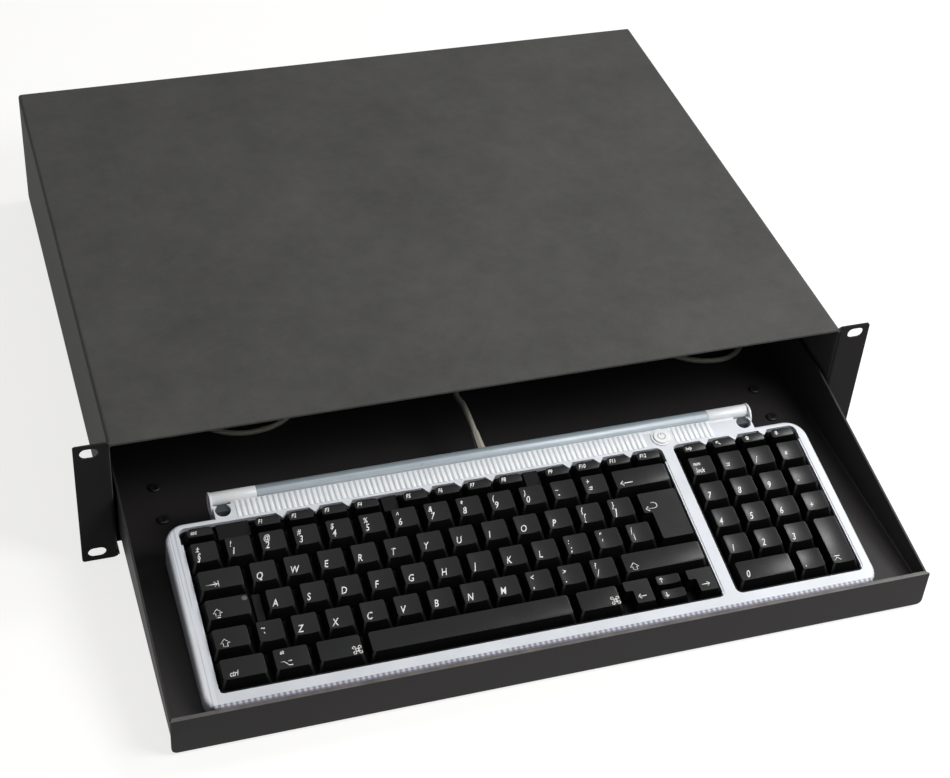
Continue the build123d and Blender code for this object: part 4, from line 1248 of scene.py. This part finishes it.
    def build(self) -> dict[str, bpy.types.Object]:
        """Make every cap and join those of one node.

        Returns:
            The joined caps, still in millimetres, by node.
        """
        groups = KeyGroups()
        made: dict[str, bpy.types.Object] = {}
        for node, keys in groups.groups().items():
            caps = [Bench.copy(self.template(key.wide, key.deep, self.kind_of(node, key)),
                               (key.u, key.v, 0.0)) for key in keys]
            if node == "keys_arrows":
                caps += [self.arrow_cap(column, groups.arrow_notch) for column in groups.arrow_columns]
            made[node] = Bench.join(f"caps_{node}", caps)
        made["key_return"] = Bench.join("caps_key_return", [self.return_cap()])
        for template in self.templates.values():
            Bench.remove(template)
        return made


# Lettering


SIGNS: dict[str, list[list[tuple[float, float]]]] = {
    "left": [[(3.2, 0), (0, 0)], [(1.1, 1.0), (0, 0), (1.1, -1.0)]],
    "right": [[(0, 0), (3.2, 0)], [(2.1, 1.0), (3.2, 0), (2.1, -1.0)]],
    "up": [[(1.2, -1.1), (1.2, 1.1)], [(0.4, 0.3), (1.2, 1.1), (2.0, 0.3)]],
    "down": [[(1.2, 1.1), (1.2, -1.1)], [(0.4, -0.3), (1.2, -1.1), (2.0, -0.3)]],
    "home": [[(2.4, -0.8), (0.8, 0.8)], [(0.8, -0.2), (0.8, 0.8), (1.8, 0.8)]],
    "page_up": [[(1.4, -1.0), (1.4, 0.9)], [(0.6, 0.1), (1.4, 0.9), (2.2, 0.1)],
                [(0.8, -0.3), (2.0, -0.3)], [(0.8, -0.7), (2.0, -0.7)]],
    "page_down": [[(1.4, 1.0), (1.4, -0.9)], [(0.6, -0.1), (1.4, -0.9), (2.2, -0.1)],
                  [(0.8, 0.3), (2.0, 0.3)], [(0.8, 0.7), (2.0, 0.7)]],
    "back": [[(5.2, 0), (0, 0)], [(1.3, 1.1), (0, 0), (1.3, -1.1)]],
    "tab": [[(0, 0), (4.4, 0)], [(3.2, 1.1), (4.4, 0), (3.2, -1.1)], [(4.8, 1.4), (4.8, -1.4)]],
    "shift": [[(1.0, -1.3), (1.0, 0.1), (0.1, 0.1), (1.8, 1.9), (3.5, 0.1), (2.6, 0.1),
               (2.6, -1.3), (1.0, -1.3)]],
    "lock": [[(1.0, -0.9), (1.0, 0.3), (0.1, 0.3), (1.8, 2.1), (3.5, 0.3), (2.6, 0.3),
              (2.6, -0.9), (1.0, -0.9)], [(1.0, -1.7), (2.6, -1.7)]],
    "option": [[(0, 0.9), (1.3, 0.9), (2.9, -0.9), (4.2, -0.9)], [(2.7, 0.9), (4.2, 0.9)]],
    "enter": [[(0.2, -0.9), (1.6, 0.5), (3.0, -0.9)], [(0.2, 1.1), (3.0, 1.1)]],
    "hook": [[(1.4, -2.2), (0, -1.1), (1.4, 0)], [(0, -1.1), (4.0, -1.1), (5.0, -0.5), (5.0, 0.9),
             (4.0, 1.6), (2.8, 1.6)]],
}


def loops() -> list[list[tuple[float, float]]]:
    """A square whose four sides run on into a round loop at each corner.

    Returns:
        Its strokes.
    """
    side, ring, middle = 0.55, 0.55, 2.0
    far = side + ring
    lines = [[(middle + side * x, -far), (middle + side * x, far)] for x in (-1, 1)]
    lines += [[(middle - far, side * y), (middle + far, side * y)] for y in (-1, 1)]
    for x, y in ((1, 1), (-1, 1), (-1, -1), (1, -1)):
        turns = [pi - step * pi / 4 for step in range(7)]
        lines.append([(middle + x * (far + ring * cos(turn)), y * (far + ring * sin(turn)))
                      for turn in turns])
    return lines


@dataclass
class Lettering:
    """Slanted white signs printed on the caps."""

    size: float = 6.6
    slant: float = 0.36
    squeeze: float = 0.70
    weight: float = 0.11
    curve_steps: int = 3
    stroke: float = 0.32
    sign_scale: float = 1.45
    inset_u: float = 4.3
    inset_v: float = 5.4
    wide_inset: float = 1.7
    low_base: float = 1.35
    low_shift: float = 0.4
    low_size: float = 0.60
    high_lift: float = 5.4
    lone_lift: float = 7.6
    high_size: float = 0.80
    sign_shift: float = 0.6
    sign_lift: float = 1.6
    loops_inset: float = 8.4
    arrow_shift: tuple[float, float] = (-1.4, -3.0)
    hook_shift: tuple[float, float] = (4.2, -2.4)
    start: float = 2.0
    flat: float = 0.01
    clear: float = 0.015
    film: float = 0.03

    def text(self, body: str, u: float, v: float, size: float) -> bpy.types.Object:
        """A word or sign as a flat mesh.

        Args:
            body: The characters.
            u: Left edge.
            v: Base line.
            size: Height factor.

        Returns:
            The mesh.
        """
        Bench.clear()
        bpy.ops.object.text_add(location=(0.0, 0.0, 0.0))
        word = bpy.context.active_object
        word.data.body = body
        word.data.size = self.size * size
        word.data.shear = self.slant
        word.data.resolution_u = self.curve_steps
        word.data.offset = self.weight
        bpy.ops.object.convert(target="MESH")
        word = bpy.context.active_object
        word.scale = (self.squeeze, 1.0, 1.0)
        word.location = (u, v, self.start)
        return word

    def sign(self, name: str, u: float, v: float) -> bpy.types.Object:
        """A drawn sign as flat strokes.

        Args:
            name: The sign.
            u: Left edge.
            v: Middle height.

        Returns:
            The mesh.
        """
        curve = bpy.data.curves.new(f"sign_{name}", "CURVE")
        curve.dimensions = "3D"
        curve.bevel_depth = self.stroke / self.sign_scale
        curve.bevel_resolution = 0
        for line in loops() if name == "loops" else SIGNS[name]:
            spline = curve.splines.new("POLY")
            spline.points.add(len(line) - 1)
            for point, (x, y) in zip(spline.points, line):
                point.co = (x, y, 0.0, 1.0)
        Bench.only(Bench.add(f"sign_{name}", curve))
        bpy.ops.object.convert(target="MESH")
        piece = bpy.context.active_object
        piece.scale = (self.sign_scale, self.sign_scale, self.flat)
        piece.location = (u, v, self.start)
        return piece

    def signs_of(self, key: Key) -> list[bpy.types.Object]:
        """Everything printed on one key.

        Args:
            key: The key.

        Returns:
            The flat meshes.
        """
        low = key.deep < FORM.low_below
        left = key.u - key.wide * FORM.pitch / 2 + self.inset_u
        if key.wide > FORM.wide_from and not low:
            left += self.wide_inset
        bottom = key.v - self.low_base if low else key.v - key.deep * FORM.pitch / 2 + self.inset_v
        made = []
        if key.low and low:
            made.append(self.text(key.low, left - self.low_shift, bottom, self.low_size * key.size))
        elif key.low:
            made.append(self.text(key.low, left, bottom, key.size))
        if key.high:
            lift = self.high_lift if key.low else self.lone_lift
            made.append(self.text(key.high, left, bottom + lift, self.high_size * key.size))
        if key.sign:
            place = left - self.sign_shift
            if key.sign == "loops":
                place = key.u + key.wide * FORM.pitch / 2 - self.loops_inset
            made.append(self.sign(key.sign, place, key.v if low else bottom + self.sign_lift))
        return made

    def extras(self, node: str) -> list[bpy.types.Object]:
        """Signs of the keys with stepped outlines.

        Args:
            node: The node of keys.

        Returns:
            The flat meshes.
        """
        pitch = FORM.pitch
        if node == "keys_arrows":
            u, v = self.arrow_shift
            return [self.sign(name, column * pitch + u, row_v(4) + v)
                    for name, column in zip(("left", "right"), KeyGroups.arrow_columns)]
        if node == "key_return":
            u, v = self.hook_shift
            return [self.sign("hook", Keycaps.return_left * pitch + u, row_v(1) + v)]
        return []

    def build(self, caps: dict[str, bpy.types.Object]) -> dict[str, bpy.types.Object]:
        """Print every key.

        Args:
            caps: The joined caps by node, in millimetres.

        Returns:
            The lettering by node, in millimetres.
        """
        made: dict[str, bpy.types.Object] = {}
        groups = KeyGroups().groups()
        for node, cap in caps.items():
            prints = [piece for key in groups.get(node, []) for piece in self.signs_of(key)]
            prints += self.extras(node)
            if not prints:
                continue
            sheet = Bench.join(f"legends_{node}", prints)
            wrap = sheet.modifiers.new("lay", "SHRINKWRAP")
            wrap.target = cap
            wrap.wrap_method = "PROJECT"
            wrap.use_project_z = True
            wrap.use_negative_direction = True
            wrap.use_positive_direction = False
            wrap.offset = self.clear
            Bench.thicken(sheet, self.film, outward=True)
            made[node] = sheet
        return made


@dataclass
class Keys:
    """Caps and lettering together, each on its own body."""

    caps: Keycaps = field(default_factory=Keycaps)
    lettering: Lettering = field(default_factory=Lettering)
    steep: float = 0.5

    def build(self) -> None:
        """Make the caps, print them and tie them to their bodies."""
        matrix = BOARD_FRAME.matrix()
        upright = BOARD_FRAME.matrix(1.0).to_3x3() @ Vector((0.0, 0.0, 1.0))
        caps = self.caps.build()
        prints = self.lettering.build(caps)
        for node, cap in caps.items():
            Bench.settle(cap, matrix, f"{node}_body", KEYCAP, "key_plastic", [node])
            # painted shade on the caps' steep walls
            Bench.dress_faces(cap, CAP_WALL_SHADE, lambda face: face.normal.dot(upright) < self.steep)
        for node, sheet in prints.items():
            Bench.settle(sheet, matrix, f"{node}_body", INK)


# Rear strip, tube and marks


@dataclass
class RearStrip:
    """Ribs of the strip behind the keys, their shaded beds and the lip that reaches to the tube."""

    pitch: float = 3.17
    width: float = 2.1
    height: float = 0.38
    front: float = 22.0
    rear: float = 33.6
    top: float = -3.5
    sunk: float = 0.2
    edge: float = 0.25
    edge_steps: int = 2
    spans: tuple[tuple[float, float], ...] = ((33.0, 282.5), (298.2, 325.0))
    bed_start: float = 0.3
    bed_front: float = 0.5
    bed_end: float = 1.0
    bed_rear: float = 0.2
    bed_height: float = 0.06
    bed_edge: float = 0.05
    shelf: tuple[float, float] = (30.7, 339.1)
    channel: float = 32.0
    lip_reach: float = 0.3
    lip_low: float = 0.8
    lip_height: float = 0.03
    lip_edge: float = 0.2

    def ribs(self) -> None:
        """Low rounded bars across the strip."""
        rows = []
        for index, (start, end) in enumerate(self.spans):
            bar = Bench.cube(f"rib_{index}", (start, self.front, self.top - self.sunk),
                             (start + self.width, self.rear, self.top + self.height))
            Bench.bevel(bar, self.edge, self.edge_steps)
            array = bar.modifiers.new("row", "ARRAY")
            array.count = int((end - start) / self.pitch)
            array.use_relative_offset = False
            array.use_constant_offset = True
            array.constant_offset_displace = (self.pitch, 0.0, 0.0)
            Bench.apply_all(bar)
            rows.append(bar)
        piece = Bench.join("strip_ribs", rows)
        Bench.smooth(piece)
        Bench.settle(piece, BOARD_FRAME.matrix(), "drawer", RIB, "frosted_plastic")

    def grooves(self) -> None:
        """Shaded beds that show between the ribs."""
        beds = []
        for index, (start, end) in enumerate(self.spans):
            length = int((end - start) / self.pitch) * self.pitch
            low = (start + self.bed_start, self.front + self.bed_front, self.top - self.sunk)
            high = (start + length - self.bed_end, self.rear - self.bed_rear, self.top + self.bed_height)
            bed = Bench.cube(f"bed_{index}", low, high)
            Bench.bevel(bed, self.bed_edge, 1)
            beds.append(bed)
        piece = Bench.join("strip_grooves", beds)
        Bench.settle(piece, BOARD_FRAME.matrix(), "drawer", GROOVE, "frosted_plastic")

    def ledge(self) -> None:
        """Thin lip of the strip that reaches over its channel to the tube."""
        lip = Bench.cube("strip_lip", (self.shelf[0], self.channel, self.top - self.lip_low),
                         (self.shelf[1], self.rear + self.lip_reach, self.top + self.lip_height))
        Bench.bevel(lip, self.lip_edge, self.edge_steps)
        Bench.smooth(lip)
        Bench.settle(lip, BOARD_FRAME.matrix(), "drawer", CLEAR, "clear_plastic")

    def build(self) -> None:
        """Make the strip's pieces."""
        self.ribs()
        self.grooves()
        self.ledge()


@dataclass
class RearTube:
    """The clear tube along the back and its two white ends, each closed by a round plate."""

    ends: tuple[float, float] = (20.4, 349.4)
    v: float = 38.0
    w: float = -4.9
    radius: float = 4.1
    sides: int = 72
    play: float = 0.05
    edge: float = 0.25
    edge_steps: int = 2
    crease: float = 40.0
    cap_length: float = 26.0
    cap_sides: int = 64
    cap_edge: float = 0.3
    cap_crease: float = 30.0
    sharp: float = 60.0
    disc: tuple[float, float] = (36.6, -6.6)
    disc_radius: float = 6.6
    disc_width: float = 1.3
    disc_rim: float = 1.3
    disc_steps: int = 3
    ring_width: float = 0.2
    ring_depth: float = 0.45
    lying: Point = (0.0, pi / 2, 0.0)

    def tube(self) -> None:
        """The clear tube between its two white ends."""
        left, right = (end - side * self.cap_length for end, side in zip(self.ends, (-1, 1)))
        tube = Bench.cylinder("clear_rear_tube", self.radius - self.play, right - left,
                              ((left + right) / 2, self.v, self.w), self.sides, self.lying)
        Bench.bevel(tube, self.edge, self.edge_steps, self.sharp)
        Bench.smooth(tube, self.crease)
        Bench.settle(tube, BOARD_FRAME.matrix(), "drawer", TUBE, "clear_plastic", ["rear_tube"])

    def white_end(self, side: int, name: str) -> None:
        """A white end of the tube with its plate.

        Args:
            side: Which end, -1 for the left.
            name: Its name.
        """
        outer = self.ends[0] if side < 0 else self.ends[1]
        plate = self.plate(side, outer)
        middle = (outer - side * self.cap_length / 2, self.v, self.w)
        cap = Bench.cylinder(f"tube_end_{name}", self.radius, self.cap_length, middle, self.cap_sides,
                             self.lying)
        Bench.bevel(cap, self.cap_edge, self.edge_steps, self.sharp)
        piece = Bench.join(f"tube_end_{name}", [plate, cap])
        Bench.smooth(piece, self.cap_crease)
        Bench.settle(piece, BOARD_FRAME.matrix(), "drawer", WHITE, "white_plastic", [f"tube_cap_{name}"])

    def plate(self, side: int, outer: float) -> bpy.types.Object:
        """Round plate that closes an end of the tube, with a shallow ring in its face.

        Args:
            side: Which end, -1 for the left.
            outer: Where the tube ends.

        Returns:
            The plate, in millimetres.
        """
        face = outer + side * self.disc_width
        plate = Bench.cylinder("end_plate", self.disc_radius, self.disc_width,
                               ((outer + face) / 2, *self.disc), self.sides, self.lying)
        Bench.pick(plate, faces=lambda surface: side * surface.center.x > side * face - NEAR)
        bpy.ops.mesh.inset(thickness=self.disc_rim, depth=0.0)
        bpy.ops.mesh.inset(thickness=self.ring_width, depth=-self.ring_depth)
        Bench.done()
        Bench.bevel(plate, self.edge, self.disc_steps, self.sharp)
        return plate

    def build(self) -> None:
        """Make the tube and its ends."""
        self.tube()
        self.white_end(-1, "left")
        self.white_end(1, "right")


@dataclass
class LockLamp:
    """Small round lamp in the upper right of the caps lock key."""

    u: float = 1.5 * FORM.pitch - 4.6
    v: float = row_v(2) + 4.4
    w: float = 0.02
    radius: float = 1.5
    height: float = 0.24
    sides: int = 32
    level: float = 0.9
    step: float = 0.35
    rises: tuple[float, float] = (0.04, 0.02)
    crease: float = 50.0

    def build(self) -> None:
        """Make the lens, slightly domed in two steps."""
        lens = Bench.cylinder("lock_lamp_lens", self.radius, self.height, (self.u, self.v, self.w),
                              self.sides)
        Bench.pick(lens, faces=lambda face: face.normal.z > self.level)
        for rise in self.rises:
            bpy.ops.mesh.inset(thickness=self.step, depth=rise)
        Bench.done()
        Bench.smooth(lens, self.crease)
        Bench.settle(lens, BOARD_FRAME.matrix(), "key_caps_lock_body", LENS)


@dataclass
class PowerMark:
    """The usual sign for power, a ring with a short bar, on the power button."""

    u: float = 290.2
    v: float = 27.6
    w: float = -2.0
    radius: float = 2.3
    ring_steps: int = 40
    stroke: float = 0.28
    stroke_steps: int = 8
    flat: float = 0.2
    gap_from: float = 1.4
    gap_half: float = 0.9
    bar: tuple[float, float] = (0.6, 2.6)
    bar_half: float = 0.05
    bar_edge: float = 0.04

    def ring(self) -> bpy.types.Object:
        """The open ring, closed at its two ends.

        Returns:
            The ring, in millimetres.
        """
        Bench.clear()
        bpy.ops.mesh.primitive_torus_add(
            location=(self.u, self.v, self.w), major_radius=self.radius, minor_radius=self.stroke,
            major_segments=self.ring_steps, minor_segments=self.stroke_steps)
        ring = bpy.context.active_object
        ring.scale = (1.0, 1.0, self.flat)
        Bench.pick(ring, faces=lambda face: face.center.y > self.gap_from
                   and abs(face.center.x) < self.gap_half)
        bpy.ops.mesh.delete(type="FACE")
        bpy.ops.mesh.select_all(action="DESELECT")
        bpy.ops.mesh.select_mode(type="EDGE")
        bpy.ops.mesh.select_non_manifold()
        bpy.ops.mesh.edge_face_add()
        Bench.done()
        return ring

    def build(self) -> None:
        """Make the mark."""
        ring = self.ring()
        bar = Bench.cube("power_bar", (self.u - self.stroke, self.v + self.bar[0], self.w - self.bar_half),
                         (self.u + self.stroke, self.v + self.bar[1], self.w + self.bar_half))
        Bench.bevel(bar, self.bar_edge, 1)
        mark = Bench.join("power_mark", [ring, bar])
        Bench.smooth(mark)
        Bench.settle(mark, BOARD_FRAME.matrix(), "button", GREY_INK)


# Cord


@dataclass
class KeyboardCord:
    """The keyboard's captive cord, lying in loose curves on the tray."""

    diameter: float = 3.5
    exit_v: float = 62.3
    ahead_v: float = 82.3
    exit_w: float = -14.3
    middle: float = -4.1
    rest: float = -28.15
    held: float = -26.0
    round_steps: int = 5
    span_steps: int = 10

    def points(self) -> list[Point]:
        """The cord's route, as in the part's source.

        Returns:
            Its points, in millimetres.
        """
        start = BOARD_FRAME.world(self.exit_v, self.exit_w)
        ahead = BOARD_FRAME.world(self.ahead_v, self.exit_w)
        x, rest, held = self.middle, self.rest, self.held
        return [(x, *start), (x, *ahead), (x + 3, 56, -15), (x + 9, 79, rest),
                (x + 8, 108, rest), (-18, 134, rest), (-50, 135, rest), (-75, 117, rest),
                (-90, 92, rest), (-108, 69, rest), (-141, 67, rest), (-164, 89, rest),
                (-172, 122, rest), (-157, 154, rest), (-124, 172, rest), (-86, 178, rest),
                (-46, 168, rest), (-6, 171, rest), (34, 180, rest), (72, 172, rest),
                (103, 150, rest), (125, 121, rest), (141, 91, rest), (160, 69, rest),
                (190, 64, rest), (208, 85, rest), (209, 116, rest), (197, 143, rest),
                (180, 158, held), (160, 168, held)]

    def build(self) -> None:
        route = [Vector(p) * MM for p in self.points()]
        curve = bpy.data.curves.new("keyboard_cord_line", "CURVE")
        curve.dimensions = "3D"
        curve.bevel_depth = self.diameter / 2 * MM
        curve.bevel_resolution = self.round_steps
        curve.use_fill_caps = True
        spline = curve.splines.new("NURBS")
        spline.points.add(len(route) - 1)
        for point, place in zip(spline.points, route):
            point.co = (*place, 1.0)
        spline.order_u = 3
        spline.use_endpoint_u = True
        spline.resolution_u = self.span_steps
        cord = Bench.add("cord_line", curve)
        CORD_SKIN.dress(cord)
        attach(cord, "drawer")
        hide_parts("keyboard_cord")
        log.info("cord_line: %d points", len(route))


# Drawer front


@dataclass
class DrawerFront:
    """Folded front sheet with a closed hem along its top and a short foot under the tray."""

    half: float = 218.7
    low: float = -42.5
    high: float = -17.5
    front: float = -151.2
    foot: float = 8.0
    sheet: float = 1.2
    hem: float = 2.6
    turn: float = 7.0
    corner: float = 3.5
    corner_steps: int = 6
    clear: float = 1.5
    fold_play: float = 0.05
    fold_steps: int = 5
    sharp: float = 60.0
    crease: float = 40.0
    # depth and least upward slope of the painted highlight along the hem's top
    highlight_depth: float = 0.6
    highlight_slope: float = 0.35

    def sheet_face(self) -> bpy.types.Object:
        """The upright face with its two lower corners rounded.

        Returns:
            The sheet, in millimetres.
        """
        Bench.clear()
        bpy.ops.mesh.primitive_plane_add(size=1.0, location=(0.0, self.front, (self.low + self.high) / 2),
                                         rotation=(pi / 2, 0.0, 0.0))
        face = Bench.placed("drawer_front_sheet", (2 * self.half, self.high - self.low, 1.0))
        Bench.round_points(face, self.corner, self.corner_steps, lambda p: p.z < self.low + NEAR)
        return face

    def fold(self, face: bpy.types.Object, chosen: Callable, moves: Sequence[Point]) -> None:
        """Fold the sheet on from one of its edges.

        Args:
            face: The sheet.
            chosen: Test for the edge.
            moves: One move for each fold.
        """
        Bench.pick(face, edges=chosen)
        for move in moves:
            Bench.extrude(move)
        Bench.done()

    def build(self) -> None:
        """Fold the sheet, give it its thickness and tie it to the drawer."""
        face = self.sheet_face()
        self.fold(face, lambda a, b: min(a.z, b.z) > self.high - NEAR,
                  ((0.0, self.hem, 0.0), (0.0, 0.0, -self.turn)))
        self.fold(face, lambda a, b: max(a.z, b.z) < self.low + NEAR, ((0.0, self.foot, 0.0),))
        Bench.pick(face, edges=lambda a, b: min(a.y, b.y) > self.front + self.hem - NEAR
                   and min(a.z, b.z) > self.low + self.sheet)
        bpy.ops.transform.resize(value=((self.half - self.clear) / self.half, 1.0, 1.0),
                                 center_override=(0.0, 0.0, 0.0))
        Bench.face_out()
        Bench.done()
        Bench.bevel(face, self.hem / 2 - self.fold_play, self.fold_steps, self.sharp)
        Bench.thicken(face, self.sheet, even=True)
        Bench.smooth(face, self.crease)
        Bench.settle(face, Matrix.Scale(MM, 4), "drawer", DRAWER, "drawer_paint", ["drawer_front"])
        # painted highlight on the upward faces along the top of the hem
        rim = (self.high - self.highlight_depth) * MM
        Bench.dress_faces(face, HEM_HIGHLIGHT, lambda part: part.center.z > rim and part.normal.z > self.highlight_slope)


# Screws seen on the tray floor


@dataclass
class TrayScrews:
    """Pan-head screws with a cross recess that hold the tray to its slides."""

    x: float = 192.6
    along: tuple[float, ...] = (45.0, 158.6, 186.0)
    front: float = -151.2
    floor: float = -30.1
    radius: float = 3.6
    height: float = 1.6
    sides: int = 32
    crown: float = 0.9
    crown_steps: int = 4
    recess: tuple[float, float, float] = (0.45, 1.9, 0.8)
    over: float = 1.0
    shank: float = 1.9
    shank_sides: int = 24
    shank_edge: float = 0.25
    length: float = 4.0

    def screw(self) -> bpy.types.Object:
        """One screw at the origin, its seat at height 0.

        Returns:
            The screw, in millimetres.
        """
        head = Bench.cylinder("screw_head", self.radius, self.height, (0.0, 0.0, self.height / 2),
                              self.sides)
        Bench.pick(head, edges=lambda a, b: min(a.z, b.z) > self.height / 2)
        bpy.ops.mesh.bevel(offset=self.crown, segments=self.crown_steps)
        Bench.done()
        narrow, long, deep = self.recess
        for name, x, y in (("slot_u", narrow, long), ("slot_v", long, narrow)):
            Bench.cut(head, Bench.cube(name, (-x, -y, self.height - deep),
                                       (x, y, self.height + self.over)))
        body = Bench.cylinder("screw_body", self.shank, self.length, (0.0, 0.0, -self.length / 2),
                              self.shank_sides)
        Bench.bevel(body, self.shank_edge, 1)
        return Bench.join("screw", [head, body])

    def build(self) -> None:
        """Place all the screws."""
        first = self.screw()
        screws = [Bench.copy(first, (side * self.x, self.front + y, self.floor))
                  for side in (-1, 1) for y in self.along]
        Bench.remove(first)
        piece = Bench.join("tray_screw_heads", screws)
        Bench.smooth(piece)
        Bench.settle(piece, Matrix.Scale(MM, 4), "drawer", BLACK_STEEL, "black_screw_steel",
                     ["tray_screws"])


# Studio


@dataclass(frozen=True)
class Lamp:
    """A square soft lamp: its place, what it points at, its side and its watts."""

    name: str
    place: Point
    aim: Point
    size: float
    power: float

    def build(self) -> None:
        """Hang the lamp."""
        data = bpy.data.lights.new(self.name, "AREA")
        data.shape = "SQUARE"
        data.size = self.size
        data.energy = self.power
        lamp = Bench.add(self.name, data)
        lamp.location = self.place
        lamp.rotation_mode = "QUATERNION"
        lamp.rotation_quaternion = (Vector(self.aim) - Vector(self.place)).to_track_quat("-Z", "Y")


@dataclass
class Studio:
    """Camera, lights and floor."""

    camera_place: Point = (-0.3141, -0.8060, 0.77755)
    camera_turn: Point = (49.331, -3.639, -17.504)
    lens: float = 74.59
    sensor: float = 36.0
    clip: tuple[float, float] = (0.05, 50.0)
    floor_size: float = 12.0
    floor_z: float = -0.04425
    floor_color: Color = (0.30, 0.30, 0.295)
    floor_roughness: float = 0.85
    glow_color: Color = (1.0, 0.995, 0.985)
    glow: float = 0.77
    surroundings: float = 0.20
    lamps: tuple[Lamp, ...] = (
        Lamp("key_lamp", (0.58, -0.45, 0.86), (0.02, -0.05, 0.0), 0.5, 8.8),
        Lamp("front_lamp", (1.3, -0.9, 0.8), (0.1, -0.1, 0.0), 0.8, 1.8),
        Lamp("sheen_lamp", (1.03, 0.45, 1.10), (0.14, -0.08, 0.0), 0.34, 8.0),
    )

    def camera(self) -> None:
        """Camera at the photograph's viewing angle."""
        data = bpy.data.cameras.new("camera")
        data.lens = self.lens
        data.sensor_width = self.sensor
        data.clip_start, data.clip_end = self.clip
        camera = Bench.add("camera", data)
        camera.location = self.camera_place
        camera.rotation_euler = [radians(a) for a in self.camera_turn]
        bpy.context.scene.camera = camera

    def seen(self, wiring: Wiring) -> bpy.types.NodeSocket:
        """Switch that is on for what the camera sees, also in gloss and through clear plastic.

        Args:
            wiring: Wiring of the floor or the surroundings.

        Returns:
            The switch.
        """
        path = wiring.node("ShaderNodeLightPath")
        total = path.outputs["Is Camera Ray"]
        for name in ("Is Glossy Ray", "Is Transmission Ray"):
            total = wiring.math("MAXIMUM", total, path.outputs[name])
        return total

    def switch(self, wiring: Wiring, plain: bpy.types.NodeSocket, seen: bpy.types.NodeSocket,
               output: bpy.types.Node) -> None:
        """Show one shader where the camera looks and another to the rest of the light.

        Args:
            wiring: Wiring of the floor or the surroundings.
            plain: The shader that lights the object.
            seen: The shader that the camera sees.
            output: The output node.
        """
        mix = wiring.node("ShaderNodeMixShader")
        wiring.link(self.seen(wiring), mix.inputs["Fac"])
        wiring.link(plain, mix.inputs[1])
        wiring.link(seen, mix.inputs[2])
        wiring.link(mix.outputs["Shader"], output.inputs["Surface"])

    def floor(self) -> None:
        """A pale floor that keeps the object's shadow."""
        Bench.clear()
        bpy.ops.mesh.primitive_plane_add(size=self.floor_size, location=(0.0, 0.0, self.floor_z))
        plane = bpy.context.active_object
        plane.name = "studio_floor"
        made = bpy.data.materials.new("studio_floor")
        made.use_nodes = True
        wiring = Wiring(made.node_tree)
        shader = wiring.tree.nodes["Principled BSDF"]
        shader.inputs["Base Color"].default_value = (*self.floor_color, 1.0)
        shader.inputs["Roughness"].default_value = self.floor_roughness
        glow = wiring.node("ShaderNodeEmission", {"Color": (*self.glow_color, 1.0), "Strength": self.glow})
        both = wiring.node("ShaderNodeAddShader")
        wiring.link(shader.outputs["BSDF"], both.inputs[0])
        wiring.link(glow.outputs["Emission"], both.inputs[1])
        self.switch(wiring, shader.outputs["BSDF"], both.outputs["Shader"],
                    wiring.tree.nodes["Material Output"])
        plane.data.materials.append(made)

    def world(self) -> None:
        """Soft pale surroundings, white where the camera sees them."""
        made = bpy.data.worlds.new("surroundings")
        made.use_nodes = True
        made.node_tree.nodes.clear()
        wiring = Wiring(made.node_tree)
        dim, white = (wiring.node("ShaderNodeBackground", {"Color": (1.0, 1.0, 1.0, 1.0), "Strength": power})
                      for power in (self.surroundings, 1.0))
        self.switch(wiring, dim.outputs["Background"], white.outputs["Background"],
                    wiring.node("ShaderNodeOutputWorld"))
        bpy.context.scene.world = made

    def build(self) -> None:
        """Set up the studio."""
        self.camera()
        self.floor()
        self.world()
        for lamp in self.lamps:
            lamp.build()
        bpy.context.scene.view_settings.view_transform = "Standard"


@dataclass
class Solids:
    """Finishes of the solids that are shown as they are."""

    finishes: dict[str, Finish] = field(default_factory=lambda: dict(NODE_FINISH))

    def build(self) -> None:
        """Dress each solid."""
        for node, finish in self.finishes.items():
            finish.dress(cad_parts[node])
            log.info("%s: %s, %s", node, finish.name, finish.surface.value)


def main() -> None:
    """Build the studio, the cord and the dressed pieces."""
    logging.basicConfig(level=logging.INFO, format="%(name)s %(message)s")
    Studio().build()
    KeyboardCord().build()
    Solids().build()
    Keys().build()
    RearStrip().build()
    RearTube().build()
    LockLamp().build()
    PowerMark().build()
    DrawerFront().build()
    TrayScrews().build()


if __name__ == "__main__":
    main()
